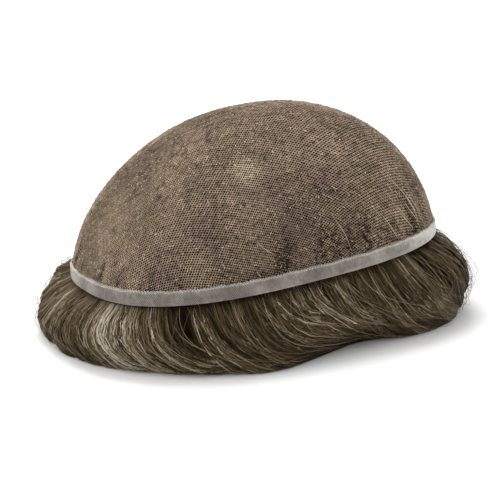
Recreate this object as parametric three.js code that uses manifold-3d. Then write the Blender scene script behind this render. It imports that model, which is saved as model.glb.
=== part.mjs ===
// Toupee hairpiece lying inside out: a dome of lace net bound with a folded ribbon, with the
// hair against its inner side and spilling out below the hem on to the surface.
//
// Millimetres, +Z up. +X points to the back of the piece and -Y to the side that shows best.
// Directions are degrees round the hem, from the back (0) past the far side (90), the front
// (180) and the near side (270).

import * as THREE from "three";
import { mergeVertices } from "three/addons/utils/BufferGeometryUtils.js";
import Module from "manifold-3d";

const wasm = await Module();
wasm.setup();

// Lace base, measured on its outer face
const LACE_LENGTH = 175.5;
const LACE_WIDTH = 121.0;
const LACE_HEIGHT = 71.5;
const LACE_WALL = 1.0;
const TOP_SHIFT = 4.6;
const PLAN_SQUARENESS = 2.57;
const BACK_TAPER = 0.1;

// Folded ribbon that binds the edge of the lace
const RIBBON_HEIGHT = 6.6;
const RIBBON_LEAF = 0.8;
const CLEARANCE = 0.3;

// How the base lies: the middle of its hem above the surface, and its tilt
const HEM_LIFT = 33.0;
const BACK_RISE = 3.8;
const NEAR_RISE = 4.0;

// Hair
const CROWN_THICKNESS = 7.0;
const CROWN_SHARE = 0.5;
const HAIR_SPREAD = 15.5;
const CURTAIN_THICKNESS = 8.0;
const LOCK_WIDTH = 13.0;
const LOCK_DEPTH = 6.0;
const PUCKER_DEPTH = 1.3;

// Fineness of the meshes
const HEM_STATIONS = 60;
const DOME_ROWS = 9;
const HOLLOW_ROWS = 6;
const LOCK_RINGS = 7;
const LOCK_SIDES = 6;
const SLIVER = 0.05;
const TOP_CLIMB = 0.03;

// How full the dome's side is: 2 is an ellipse, less is a slope, more is a shoulder
const FULLNESS = [
  { direction: 0, fullness: 2.05 },
  { direction: 45, fullness: 2.15 },
  { direction: 90, fullness: 2.1 },
  { direction: 135, fullness: 1.93 },
  { direction: 180, fullness: 1.7 },
  { direction: 225, fullness: 1.7 },
  { direction: 270, fullness: 1.8 },
  { direction: 315, fullness: 1.88 },
];
const TOP_FULLNESS = 2.0;

// Puckers where the lace is gathered on to the ribbon: width in degrees, reach as a share of
// the lace's height, depth as a share of PUCKER_DEPTH
const PUCKERS = [
  { direction: 181, width: 8, reach: 0.45, depth: 0.7 },
  { direction: 197, width: 8, reach: 0.5, depth: 1.0 },
  { direction: 211, width: 7, reach: 0.4, depth: 0.8 },
  { direction: 226, width: 8, reach: 0.35, depth: 0.5 },
  { direction: 247, width: 9, reach: 0.4, depth: 0.4 },
  { direction: 280, width: 7, reach: 0.45, depth: 0.6 },
  { direction: 293, width: 7, reach: 0.6, depth: 1.0 },
  { direction: 306, width: 7, reach: 0.65, depth: 0.9 },
  { direction: 320, width: 8, reach: 0.6, depth: 1.0 },
  { direction: 345, width: 10, reach: 0.5, depth: 0.6 },
  { direction: 30, width: 10, reach: 0.4, depth: 0.5 },
  { direction: 100, width: 12, reach: 0.4, depth: 0.5 },
];

// The hair's outer form below the hem. belly and foot are how far it stands out where it is
// widest and at the surface, as shares of HAIR_SPREAD, level is the share of its fall at which
// it is widest, and sweep is how far it drifts round the hem, in degrees
const HAIR_FORM = [
  { direction: 0, belly: 1.1, level: 0.36, foot: 0.7, sweep: 0 },
  { direction: 20, belly: 0.95, level: 0.4, foot: 0.6, sweep: -14 },
  { direction: 40, belly: 0.75, level: 0.45, foot: 0.48, sweep: -26 },
  { direction: 60, belly: 0.6, level: 0.48, foot: 0.4, sweep: -30 },
  { direction: 80, belly: 0.55, level: 0.48, foot: 0.35, sweep: -28 },
  { direction: 100, belly: 0.6, level: 0.48, foot: 0.38, sweep: -24 },
  { direction: 120, belly: 0.75, level: 0.42, foot: 0.48, sweep: -20 },
  { direction: 140, belly: 1.05, level: 0.32, foot: 0.62, sweep: -12 },
  { direction: 160, belly: 1.12, level: 0.34, foot: 0.85, sweep: -5 },
  { direction: 180, belly: 1.05, level: 0.44, foot: 0.88, sweep: 4 },
  { direction: 200, belly: 0.75, level: 0.48, foot: 0.35, sweep: 13 },
  { direction: 220, belly: 0.45, level: 0.48, foot: 0.0, sweep: 22 },
  { direction: 240, belly: 0.42, level: 0.5, foot: 0.02, sweep: 28 },
  { direction: 260, belly: 0.42, level: 0.5, foot: 0.22, sweep: 28 },
  { direction: 280, belly: 0.3, level: 0.5, foot: -0.6, sweep: 30 },
  { direction: 300, belly: 0.6, level: 0.45, foot: 0.1, sweep: 34 },
  { direction: 320, belly: 0.85, level: 0.4, foot: 0.5, sweep: 27 },
  { direction: 340, belly: 1.1, level: 0.36, foot: 0.66, sweep: 12 },
];

// Where the hair leaves the hem, under the ribbon
const HAIR_ROOT = -1.5;

// Locks by zone. start is the direction at the hem, width and depth are shares of LOCK_WIDTH
// and LOCK_DEPTH, reach is the share of the fall at the tip and lean a share of the sweep
const ZONES = [
  {
    name: "front_hair",
    from: 140,
    to: 205,
    locks: [
      { start: 146, width: 0.95, depth: 0.9, reach: 1.0, lean: 1.0 },
      { start: 155, width: 1.0, depth: 1.1, reach: 0.9, lean: 0.8 },
      { start: 163, width: 0.95, depth: 0.9, reach: 1.04, lean: 1.3 },
      { start: 171, width: 1.1, depth: 1.1, reach: 1.0, lean: 0.6 },
      { start: 178, width: 1.0, depth: 0.9, reach: 1.04, lean: 1.5 },
      { start: 185, width: 1.1, depth: 1.1, reach: 0.95, lean: 1.6 },
      { start: 192, width: 1.0, depth: 1.0, reach: 1.04, lean: 1.1 },
      { start: 199, width: 0.9, depth: 1.2, reach: 0.92, lean: 1.0 },
    ],
  },
  {
    name: "near_side_hair",
    from: 205,
    to: 278,
    locks: [
      { start: 210, width: 1.0, depth: 1.3, reach: 0.95, lean: 1.0 },
      { start: 218, width: 1.0, depth: 1.2, reach: 0.92, lean: 0.9 },
      { start: 223, width: 0.6, depth: 1.2, reach: 0.85, lean: 0.9 },
      { start: 235, width: 1.0, depth: 1.0, reach: 1.04, lean: 1.0 },
      { start: 242, width: 1.0, depth: 1.2, reach: 0.97, lean: 1.1 },
      { start: 248, width: 1.1, depth: 1.0, reach: 1.04, lean: 1.0 },
      { start: 254, width: 1.0, depth: 1.1, reach: 0.95, lean: 1.1 },
      { start: 258, width: 1.0, depth: 1.2, reach: 0.85, lean: 1.1 },
      { start: 262, width: 0.9, depth: 1.5, reach: 0.68, lean: 0.95 },
      { start: 268, width: 1.0, depth: 1.1, reach: 0.8, lean: 0.7 },
      { start: 273, width: 0.9, depth: 0.9, reach: 0.6, lean: 0.5 },
    ],
  },
  {
    name: "back_hair",
    from: 278,
    to: 375,
    locks: [
      { start: 282, width: 0.9, depth: 0.9, reach: 0.95, lean: 0.9 },
      { start: 286, width: 1.1, depth: 1.2, reach: 1.04, lean: 1.0 },
      { start: 291, width: 1.0, depth: 1.1, reach: 0.95, lean: 1.1 },
      { start: 297, width: 1.0, depth: 1.3, reach: 0.85, lean: 1.2 },
      { start: 303, width: 1.0, depth: 1.0, reach: 1.0, lean: 1.0 },
      { start: 309, width: 0.9, depth: 1.2, reach: 0.75, lean: 1.2 },
      { start: 318, width: 0.9, depth: 0.9, reach: 0.9, lean: 1.0 },
      { start: 352, width: 1.0, depth: 1.2, reach: 0.85, lean: 1.0 },
      { start: 361, width: 1.1, depth: 1.4, reach: 0.8, lean: 1.0 },
      { start: 369, width: 1.0, depth: 1.1, reach: 0.95, lean: 1.0 },
    ],
  },
  {
    name: "far_side_hair",
    from: 15,
    to: 140,
    locks: farLocks(),
  },
];

/** Even locks along the side that faces away, each a little different from the next. */
function farLocks() {
  const first = 22;
  const last = 134;
  const count = 10;
  return Array.from({ length: count }, (unused, i) => ({
    start: first + ((last - first) * i) / (count - 1),
    width: i % 2 ? 1.15 : 0.95,
    depth: i % 3 ? 0.9 : 1.2,
    reach: i % 2 ? 1.04 : 0.94,
    lean: i % 3 ? 1.0 : 0.85,
  }));
}

// Colours and surfaces
const LACE_LOOK = { color: 0x7d6e62, roughness: 0.9, metalness: 0 };
const RIBBON_LOOK = { color: 0x9d968c, roughness: 0.8, metalness: 0 };
const CROWN_LOOK = { color: 0x3f3527, roughness: 0.6, metalness: 0 };
const HAIR_LOOK = { color: 0x4a3f2e, roughness: 0.55, metalness: 0 };

const HALF_LENGTH = LACE_LENGTH / 2;
const HALF_WIDTH = LACE_WIDTH / 2;
const QUARTER = Math.PI / 2;
const UP = new THREE.Vector3(0, 0, 1);

// The base's place over the surface, which its own pieces and the hair's roots share
const seat = new THREE.Group();
seat.rotation.set(THREE.MathUtils.degToRad(-NEAR_RISE), THREE.MathUtils.degToRad(-BACK_RISE), 0, "YXZ");
seat.position.z = HEM_LIFT;
seat.updateMatrix();

/** Smooth closed curve through one column of a table whose rows are evenly spaced. */
function roundTable(rows, column, direction) {
  const place = (THREE.MathUtils.euclideanModulo(direction, 360) / 360) * rows.length;
  const i = Math.floor(place);
  const f = place - i;
  const [a, b, c, d] = [-1, 0, 1, 2].map((step) => rows[(i + step + rows.length) % rows.length][column]);
  return b + 0.5 * f * (c - a + f * (2 * a - 5 * b + 4 * c - d + f * (3 * (b - c) + d - a)));
}

/** Power that keeps the sign of its base. */
function signedPower(base, exponent) {
  return Math.sign(base) * Math.abs(base) ** exponent;
}

/** Point of the hem's outline in the plane of the hem. */
function hemOutline(direction) {
  const angle = THREE.MathUtils.degToRad(direction);
  const along = signedPower(Math.cos(angle), 2 / PLAN_SQUARENESS);
  const across = signedPower(Math.sin(angle), 2 / PLAN_SQUARENESS);
  return new THREE.Vector3(HALF_LENGTH * along, HALF_WIDTH * across * (1 - BACK_TAPER * along), 0);
}

/** Level outward normal of the hem's outline. */
function hemNormal(direction) {
  const run = hemOutline(direction + 0.5).sub(hemOutline(direction - 0.5)).normalize();
  return new THREE.Vector3(run.y, -run.x, 0);
}

/** The dome's fullness, which evens out towards the top so that the top is smooth. */
function fullnessAt(direction, climb) {
  const side = roundTable(FULLNESS, "fullness", direction);
  return THREE.MathUtils.lerp(TOP_FULLNESS, side, THREE.MathUtils.smoothstep(climb, 0, 0.45));
}

/** Inward depth of the puckers at a direction and a height over the hem. */
function puckerAt(direction, height) {
  let depth = 0;
  for (const pucker of PUCKERS) {
    const off = THREE.MathUtils.euclideanModulo(direction - pucker.direction + 180, 360) - 180;
    const across = Math.exp(-((off / (pucker.width / 2)) ** 2));
    const top = pucker.reach * LACE_HEIGHT;
    const rise = THREE.MathUtils.smoothstep(height, RIBBON_HEIGHT, RIBBON_HEIGHT + 0.25 * top);
    const fade = 1 - THREE.MathUtils.smoothstep(height, 0.4 * top, top);
    depth += PUCKER_DEPTH * pucker.depth * across * rise * fade;
  }
  return depth;
}

/** Point of the lace's outer form. climb is 0 at the top and 1 at the hem. */
function domeForm(direction, climb) {
  const fullness = fullnessAt(direction, climb);
  const spread = Math.sin(climb * QUARTER) ** (2 / fullness);
  const height = LACE_HEIGHT * Math.max(Math.cos(climb * QUARTER), 0) ** (2 / fullness);
  const point = hemOutline(direction).multiplyScalar(spread);
  point.x += TOP_SHIFT * (1 - spread ** 2);
  point.z = height;
  return point.addScaledVector(hemNormal(direction), -puckerAt(direction, height));
}

/** Point at a depth under the lace's outer form, measured square to it and level at the hem. */
function domePoint(direction, climb, inset) {
  const point = domeForm(direction, climb);
  const step = 0.01;
  const low = Math.min(climb + step, 1);
  const high = Math.max(low - 2 * step, 0.001);
  const down = domeForm(direction, low).sub(domeForm(direction, high));
  const round = domeForm(direction + 1, climb).sub(domeForm(direction - 1, climb));
  const outward = new THREE.Vector3().crossVectors(down, round).normalize();
  outward.z *= Math.min(point.z / RIBBON_HEIGHT, 1);
  return point.addScaledVector(outward.normalize(), -inset);
}

/** The climb at which the dome's side has a height over the hem. */
function climbAtHeight(direction, height) {
  const fullness = fullnessAt(direction, 1);
  return Math.acos((Math.max(height, 0) / LACE_HEIGHT) ** (fullness / 2)) / QUARTER;
}

/** Point near the hem, by depth under the lace's outer face and height over the hem. */
function hemPoint(direction, inset, height) {
  return domePoint(direction, climbAtHeight(direction, height), inset);
}

/** Directions of the stations round the hem. */
function hemDirections() {
  return Array.from({ length: HEM_STATIONS }, (unused, i) => (360 * i) / HEM_STATIONS);
}

/** Closed solid through rings of points. An open run gets a cap of strips at each end. */
function loft(rings, closed) {
  const size = rings[0].length;
  const corners = rings.flat().flatMap((point) => [point.x, point.y, point.z]);
  const faces = [];
  const quad = (a, b, c, d) => faces.push(a, b, c, a, c, d);
  const spans = closed ? rings.length : rings.length - 1;
  for (let i = 0; i < spans; i += 1) {
    const here = i * size;
    const next = ((i + 1) % rings.length) * size;
    for (let j = 0; j < size; j += 1) {
      const k = (j + 1) % size;
      quad(here + j, here + k, next + k, next + j);
    }
  }
  if (!closed) {
    const last = (rings.length - 1) * size;
    for (let j = 0; j < size / 2 - 1; j += 1) {
      const k = size - 1 - j;
      quad(j, k, k - 1, j + 1);
      quad(last + j + 1, last + k - 1, last + k, last + j);
    }
  }
  const geometry = new THREE.BufferGeometry();
  geometry.setAttribute("position", new THREE.Float32BufferAttribute(corners, 3));
  geometry.setIndex(faces);
  return facingOut(geometry);
}

/** Turns a closed geometry's faces over if they point in. */
function facingOut(geometry) {
  const corner = geometry.getAttribute("position");
  const order = geometry.getIndex();
  const [a, b, c] = [new THREE.Vector3(), new THREE.Vector3(), new THREE.Vector3()];
  let volume = 0;
  for (let i = 0; i < order.count; i += 3) {
    a.fromBufferAttribute(corner, order.getX(i));
    b.fromBufferAttribute(corner, order.getX(i + 1));
    c.fromBufferAttribute(corner, order.getX(i + 2));
    volume += a.dot(b.cross(c));
  }
  if (volume < 0) {
    geometry.setIndex(Array.from(order.array).reverse());
  }
  geometry.computeVertexNormals();
  return geometry;
}

/** Solid of a closed geometry. */
function toSolid(geometry) {
  const bare = geometry.clone();
  bare.deleteAttribute("normal");
  bare.deleteAttribute("uv");
  const merged = mergeVertices(bare, 1e-4);
  const vertProperties = new Float32Array(merged.getAttribute("position").array);
  const triVerts = new Uint32Array(merged.getIndex().array);
  return new wasm.Manifold(new wasm.Mesh({ numProp: 3, vertProperties, triVerts }));
}

/** Geometry of the largest closed surface of a solid, without slivers or any sealed pocket. */
function toGeometry(solid) {
  const [body] = solid.decompose().sort((a, b) => b.volume() - a.volume());
  const mesh = body.asOriginal().simplify(SLIVER).getMesh();
  const geometry = new THREE.BufferGeometry();
  geometry.setAttribute("position", new THREE.Float32BufferAttribute(mesh.vertProperties, 3));
  geometry.setIndex(Array.from(mesh.triVerts));
  geometry.computeVertexNormals();
  return geometry;
}

/** Wide block that fills the space between two levels. */
function levelBlock(bottom, top) {
  const side = 2 * (LACE_LENGTH + LACE_WIDTH);
  const box = new THREE.BoxGeometry(side, side, top - bottom);
  return box.translate(0, 0, (top + bottom) / 2);
}

/** Shell of the dome between two faces, each given as rows. With an open top it is a ring. */
function domeShell(outerRows, innerRows, openTop) {
  const ring = (row) => hemDirections().map((direction) => row(direction));
  return loft([...outerRows, ...innerRows.reverse()].map(ring), openTop);
}

/** Row of a face of the dome. share is 0 at the top and 1 at the ribbon's edge. */
function faceRow(share, insetAt) {
  return (direction) => {
    const ribbonEdge = climbAtHeight(direction, RIBBON_HEIGHT);
    const climb = THREE.MathUtils.lerp(TOP_CLIMB, ribbonEdge, share);
    return domePoint(direction, climb, insetAt(domeForm(direction, climb).z));
  };
}

/** Rows of a face from a share down to the ribbon's edge, then one at a height over the hem. */
function lowerRows(count, from, insetAt, bottom) {
  const bottomRow = (direction) => hemPoint(direction, insetAt(bottom), bottom);
  return [...evenRows(count, from, 1, insetAt), bottomRow];
}

/** Rows of a face between two shares: both ends, and each even row between them. */
function evenRows(count, from, to, insetAt) {
  const even = Array.from({ length: count }, (unused, i) => i / (count - 1));
  const between = even.filter((share) => share > from && share < to);
  return [from, ...between, to].map((share) => faceRow(share, insetAt));
}

/** Lace net as a thin dome whose edge stands in the fold of the ribbon. */
function laceCap() {
  const edge = RIBBON_LEAF + CLEARANCE;
  const face = (inset) => lowerRows(DOME_ROWS, 0, () => inset, edge);
  return domeShell(face(0), face(LACE_WALL), false);
}

/** Ribbon folded in two round the edge of the lace. */
function hemBand() {
  const outer = -CLEARANCE - RIBBON_LEAF;
  const inner = LACE_WALL + CLEARANCE;
  return loft(
    hemDirections().map((direction) => [
      hemPoint(direction, outer, 0),
      hemPoint(direction, outer, RIBBON_HEIGHT),
      hemPoint(direction, -CLEARANCE, RIBBON_HEIGHT),
      hemPoint(direction, -CLEARANCE, RIBBON_LEAF),
      hemPoint(direction, inner, RIBBON_LEAF),
      hemPoint(direction, inner, RIBBON_HEIGHT),
      hemPoint(direction, inner + RIBBON_LEAF, RIBBON_HEIGHT),
      hemPoint(direction, inner + RIBBON_LEAF, 0),
    ]),
    true,
  );
}

/** Depth of the crown hair's outer face: close to the lace, and inside the ribbon at the hem. */
function crownInset(height) {
  const free = LACE_WALL + CLEARANCE;
  const bound = free + RIBBON_LEAF + CLEARANCE;
  const fade = 2 * RIBBON_HEIGHT;
  return THREE.MathUtils.lerp(bound, free, THREE.MathUtils.smoothstep(height, RIBBON_HEIGHT + 1, fade));
}

/** Depth of the hollow's face under the lace's outer face. */
function hollowInset(height) {
  return crownInset(height) + CROWN_THICKNESS;
}

/** Hair lying against the inside of the lace's top, a shallow dome. */
function crownHair() {
  const outer = evenRows(DOME_ROWS, 0, CROWN_SHARE, crownInset);
  const inner = evenRows(HOLLOW_ROWS, 0, CROWN_SHARE, hollowInset);
  return domeShell(outer, inner, false);
}

/** Hair lying against the inside of the lace's side, a ring from the crown down to the hem. */
function rimHair() {
  const from = CROWN_SHARE + CLEARANCE / LACE_HEIGHT;
  const outer = lowerRows(DOME_ROWS, from, crownInset, 0);
  const inner = lowerRows(HOLLOW_ROWS, from, hollowInset, 0);
  return domeShell(outer, inner, true);
}

/** How far the hair's outer form stands out from the hem at a share of its fall. */
function hairOut(direction, fall) {
  const belly = HAIR_SPREAD * roundTable(HAIR_FORM, "belly", direction);
  const foot = HAIR_SPREAD * roundTable(HAIR_FORM, "foot", direction);
  const level = roundTable(HAIR_FORM, "level", direction);
  if (fall < level) {
    return HAIR_ROOT + (belly - HAIR_ROOT) * Math.sin((Math.max(fall, 0) / level) * QUARTER);
  }
  return belly + (foot - belly) * (1 - Math.cos(((fall - level) / (1 - level)) * QUARTER));
}

/** Point in the hair below the hem: fall is 0 at the hem and 1 at the surface. */
function hairPoint(direction, fall, out) {
  const point = hemOutline(direction).addScaledVector(hemNormal(direction), out);
  const hem = point.clone().applyMatrix4(seat.matrix);
  const up = UP.clone().transformDirection(seat.matrix);
  return hem.addScaledVector(up, (-fall * hem.z) / up.z);
}

/** Direction and fall along a lock. turn is 0 at the hem and 1 at the tip. */
function lockCourse(start, reach, lean, turn) {
  const angle = turn * QUARTER;
  const sweep = roundTable(HAIR_FORM, "sweep", start);
  return { direction: start + lean * sweep * (1 - Math.cos(angle)), fall: reach * Math.sin(angle) };
}

/** Part of the hair's curtain between two directions at the hem and two depths. */
function curtain(from, to, outer, inner) {
  const columns = Math.ceil((to - from) / 8) + 1;
  const rows = 7;
  const pastSurface = 1.06;
  const side = (start, out) =>
    Array.from({ length: rows }, (unused, j) => {
      const { direction, fall } = lockCourse(start, pastSurface, 1, j / (rows - 1));
      return hairPoint(direction, fall, hairOut(direction, Math.min(fall, 1)) + out);
    });
  const rings = Array.from({ length: columns }, (unused, i) => {
    const start = THREE.MathUtils.lerp(from, to, i / (columns - 1));
    return [...side(start, outer), ...side(start, inner).reverse()];
  });
  return loft(rings, false);
}

/** One tapered lock that leaves the hem, sweeps along it and flattens towards its tip. */
function lock({ start, width, depth, reach, lean }) {
  const halfDepth = (LOCK_DEPTH * depth) / 2;
  const centre = (turn) => {
    const { direction, fall } = lockCourse(start, reach, lean, turn);
    const point = hairPoint(direction, fall, hairOut(direction, Math.min(fall, 1)) - halfDepth);
    return { point, outward: hemNormal(direction) };
  };
  const rings = Array.from({ length: LOCK_RINGS }, (unused, i) => {
    const turn = i / (LOCK_RINGS - 1);
    const { point, outward } = centre(turn);
    const ahead = centre(Math.min(turn + 0.02, 1)).point.sub(centre(turn - 0.02).point).normalize();
    const across = new THREE.Vector3().crossVectors(outward, ahead).normalize();
    const proud = new THREE.Vector3().crossVectors(ahead, across);
    const taper = 1 - 0.6 * turn ** 3;
    return Array.from({ length: LOCK_SIDES }, (ignored, j) => {
      const angle = (2 * Math.PI * (j + 0.5)) / LOCK_SIDES;
      return point
        .clone()
        .addScaledVector(across, 0.5 * LOCK_WIDTH * width * taper * Math.cos(angle))
        .addScaledVector(proud, halfDepth * taper * Math.sin(angle));
    });
  });
  return loft(rings, false);
}

/** Locks of one zone fused to the curtain behind them, cut at the hem and at the surface. */
function hairZone({ from, to, locks }) {
  const gap = 0.5;
  const curtainFace = -LOCK_DEPTH / 2;
  const [start, end] = [from + gap, to - gap];
  const backing = toSolid(curtain(start, end, curtainFace, curtainFace - CURTAIN_THICKNESS));
  const room = toSolid(curtain(start, end, LOCK_DEPTH, curtainFace - CURTAIN_THICKNESS));
  const underHem = toSolid(levelBlock(-4 * HEM_LIFT, -CLEARANCE).applyMatrix4(seat.matrix));
  const overSurface = toSolid(levelBlock(0, 4 * HEM_LIFT));
  const hair = locks.reduce((sum, row) => sum.add(toSolid(lock(row))), backing);
  return toGeometry(hair.intersect(room).intersect(underHem).intersect(overSurface));
}

/** Named mesh of one piece. */
function piece(name, geometry, look) {
  const mesh = new THREE.Mesh(geometry, new THREE.MeshStandardMaterial(look));
  mesh.name = name;
  return mesh;
}

const hairpiece = new THREE.Group();
seat.add(piece("lace_cap", laceCap(), LACE_LOOK));
seat.add(piece("hem_band", hemBand(), RIBBON_LOOK));
seat.add(piece("crown_hair", crownHair(), CROWN_LOOK));
seat.add(piece("rim_hair", rimHair(), CROWN_LOOK));
hairpiece.add(seat);
for (const zone of ZONES) {
  hairpiece.add(piece(zone.name, hairZone(zone), HAIR_LOOK));
}

// The origin is the middle of the whole piece on the surface it lies on
const bounds = new THREE.Box3().setFromObject(hairpiece);
const middle = bounds.getCenter(new THREE.Vector3());
hairpiece.position.set(-middle.x, -middle.y, -bounds.min.z);

export default hairpiece;
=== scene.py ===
"""Looks of a lace toupee that lies inside out on a pale surface.

The frame is in metres with +Z up. Lengths here are in millimetres, as in the part's source, and
become metres where a mesh is made. Directions are degrees round the hem, from the back (0) past
the far side (90), the front (180) and the near side (270).
"""

import functools
import logging
import math
from collections.abc import Sequence
from dataclasses import dataclass, field
from enum import Enum

import bpy
import numpy as np
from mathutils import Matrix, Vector


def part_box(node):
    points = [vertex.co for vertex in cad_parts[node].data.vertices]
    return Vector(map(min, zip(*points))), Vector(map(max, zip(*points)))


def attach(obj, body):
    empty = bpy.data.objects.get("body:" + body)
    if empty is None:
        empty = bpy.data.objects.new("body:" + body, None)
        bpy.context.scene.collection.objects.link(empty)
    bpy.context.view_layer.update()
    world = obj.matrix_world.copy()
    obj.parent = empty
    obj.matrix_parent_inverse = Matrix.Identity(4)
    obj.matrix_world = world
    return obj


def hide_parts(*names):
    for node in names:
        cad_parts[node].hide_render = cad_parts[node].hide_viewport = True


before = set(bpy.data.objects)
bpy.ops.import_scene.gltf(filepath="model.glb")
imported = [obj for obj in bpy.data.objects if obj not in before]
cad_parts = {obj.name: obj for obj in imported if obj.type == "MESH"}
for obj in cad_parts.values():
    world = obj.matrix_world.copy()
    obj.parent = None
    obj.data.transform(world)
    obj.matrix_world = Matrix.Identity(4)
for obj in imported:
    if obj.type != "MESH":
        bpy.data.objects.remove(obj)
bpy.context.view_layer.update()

Colour = tuple[float, float, float, float]
METRES = 0.001

log = logging.getLogger("toupee")


def smoothstep(x: np.ndarray, low: np.ndarray | float, high: np.ndarray | float) -> np.ndarray:
    """Smooth rise from 0 at low to 1 at high.

    Args:
        x: Where to read the rise.
        low: Where it starts.
        high: Where it ends.

    Returns:
        The height of the rise at each x.
    """
    t = np.clip((x - low) / (high - low), 0, 1)
    return t * t * (3 - 2 * t)


def unit(v: np.ndarray) -> np.ndarray:
    """The vectors with length 1."""
    return v / np.maximum(np.linalg.norm(v, axis=-1, keepdims=True), 1e-12)


def signed_power(base: np.ndarray, exponent: float) -> np.ndarray:
    """Power that keeps the sign of its base."""
    return np.sign(base) * np.abs(base) ** exponent


def round_table(values: Sequence[float], direction: np.ndarray) -> np.ndarray:
    """Smooth closed curve through values that are evenly spaced round the hem.

    Args:
        values: One value for each even step, the first at direction 0.
        direction: Where to read the curve, in degrees.

    Returns:
        The curve's value at each direction.
    """
    rows = np.asarray(values, float)
    count = len(rows)
    place = np.mod(direction, 360) / 360 * count
    i = np.floor(place).astype(int)
    f = place - i
    a, b, c, d = (rows[(i + step) % count] for step in (-1, 0, 1, 2))
    return b + 0.5 * f * (c - a + f * (2 * a - 5 * b + 4 * c - d + f * (3 * (b - c) + d - a)))


@dataclass(frozen=True)
class BaseForm:
    """Form of the lace base and how it lies, with the values of the part's source."""

    length: float = 175.5
    width: float = 121.0
    height: float = 71.5
    wall: float = 1.0
    top_shift: float = 4.6
    squareness: float = 2.57
    back_taper: float = 0.1
    ribbon_height: float = 6.6
    ribbon_leaf: float = 0.8
    clearance: float = 0.3
    hem_lift: float = 33.0
    back_rise: float = 3.8
    near_rise: float = 4.0
    top_fullness: float = 2.0
    fullness: tuple[float, ...] = (2.05, 2.15, 2.1, 1.93, 1.7, 1.7, 1.8, 1.88)
    pucker_depth: float = 1.3
    puckers: tuple[tuple[float, float, float, float], ...] = (
        (181, 8, 0.45, 0.7),
        (197, 8, 0.5, 1.0),
        (211, 7, 0.4, 0.8),
        (226, 8, 0.35, 0.5),
        (247, 9, 0.4, 0.4),
        (280, 7, 0.45, 0.6),
        (293, 7, 0.6, 1.0),
        (306, 7, 0.65, 0.9),
        (320, 8, 0.6, 1.0),
        (345, 10, 0.5, 0.6),
        (30, 10, 0.4, 0.5),
        (100, 12, 0.4, 0.5),
    )

    def outline(self, direction: np.ndarray) -> np.ndarray:
        """Points of the hem's outline in the plane of the hem."""
        angle = np.radians(direction)
        along = signed_power(np.cos(angle), 2 / self.squareness)
        across = signed_power(np.sin(angle), 2 / self.squareness)
        wide = self.width / 2 * across * (1 - self.back_taper * along)
        return np.stack([self.length / 2 * along, wide, 0 * along], -1)

    def normal(self, direction: np.ndarray) -> np.ndarray:
        """Level outward normals of the hem's outline."""
        run = unit(self.outline(direction + 0.5) - self.outline(direction - 0.5))
        return np.stack([run[..., 1], -run[..., 0], 0 * run[..., 0]], -1)

    def fullness_at(self, direction: np.ndarray, climb: np.ndarray) -> np.ndarray:
        """Fullness of the side, which evens out towards the top."""
        side = round_table(self.fullness, direction)
        return self.top_fullness + (side - self.top_fullness) * smoothstep(climb, 0, 0.45)

    def pucker_at(self, direction: np.ndarray, height: np.ndarray) -> np.ndarray:
        """Inward depth of the puckers.

        Args:
            direction: Direction round the hem.
            height: Height over the hem.

        Returns:
            The depth at each place.
        """
        depth = np.zeros(np.broadcast(direction, height).shape)
        for middle, width, reach, share in self.puckers:
            off = np.mod(direction - middle + 180, 360) - 180
            top = reach * self.height
            rise = smoothstep(height, self.ribbon_height, self.ribbon_height + 0.25 * top)
            fade = 1 - smoothstep(height, 0.4 * top, top)
            depth += self.pucker_depth * share * np.exp(-((off / (width / 2)) ** 2)) * rise * fade
        return depth

    def dome(self, direction: np.ndarray, climb: np.ndarray) -> np.ndarray:
        """Points of the lace's outer form. climb is 0 at the top and 1 at the hem."""
        power = 2 / self.fullness_at(direction, climb)
        spread = np.sin(climb * math.pi / 2) ** power
        height = self.height * np.maximum(np.cos(climb * math.pi / 2), 0) ** power
        point = self.outline(direction) * spread[..., None]
        point[..., 0] += self.top_shift * (1 - spread**2)
        point[..., 2] = height
        return point - self.normal(direction) * self.pucker_at(direction, height)[..., None]

    def outward(self, direction: np.ndarray, climb: np.ndarray) -> np.ndarray:
        """Outward normals of the dome, level at the hem."""
        low = np.minimum(climb + 0.01, 1)
        high = np.maximum(low - 0.02, 0.001)
        down = self.dome(direction, low) - self.dome(direction, high)
        round_it = self.dome(direction + 1, climb) - self.dome(direction - 1, climb)
        out = unit(np.cross(down, round_it))
        out[..., 2] *= np.minimum(self.dome(direction, climb)[..., 2] / self.ribbon_height, 1)
        return unit(out)

    def dome_point(self, direction: np.ndarray, climb: np.ndarray, inset: np.ndarray) -> np.ndarray:
        """Points at a depth under the lace's outer form."""
        inward = self.outward(direction, climb) * np.asarray(inset)[..., None]
        return self.dome(direction, climb) - inward

    def climb_at(self, direction: np.ndarray, height: np.ndarray) -> np.ndarray:
        """The climb at which the dome's side has a height over the hem."""
        power = self.fullness_at(direction, np.ones(1)) / 2
        return np.arccos((np.maximum(height, 0) / self.height) ** power) / (math.pi / 2)

    def tilt(self) -> np.ndarray:
        """Rotation of the base on the surface."""
        near, back = math.radians(-self.near_rise), math.radians(-self.back_rise)
        turn_x = np.array(
            [[1, 0, 0], [0, math.cos(near), -math.sin(near)], [0, math.sin(near), math.cos(near)]]
        )
        turn_y = np.array(
            [[math.cos(back), 0, math.sin(back)], [0, 1, 0], [-math.sin(back), 0, math.cos(back)]]
        )
        return turn_y @ turn_x

    @functools.cache
    def shift(self) -> np.ndarray:
        """How far the base is moved along the surface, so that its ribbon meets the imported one."""
        direction = np.arange(0, 360, 6.0)
        outer = -self.clearance - self.ribbon_leaf
        climb = np.ones_like(direction)
        ring = self.dome_point(direction, climb, np.full(len(direction), outer)) @ self.tilt().T
        low, high = (np.array(corner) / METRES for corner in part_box("hem_band"))
        middle = (low + high) / 2 - (ring.min(0) + ring.max(0)) / 2
        return np.array([middle[0], middle[1], self.hem_lift])

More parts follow.
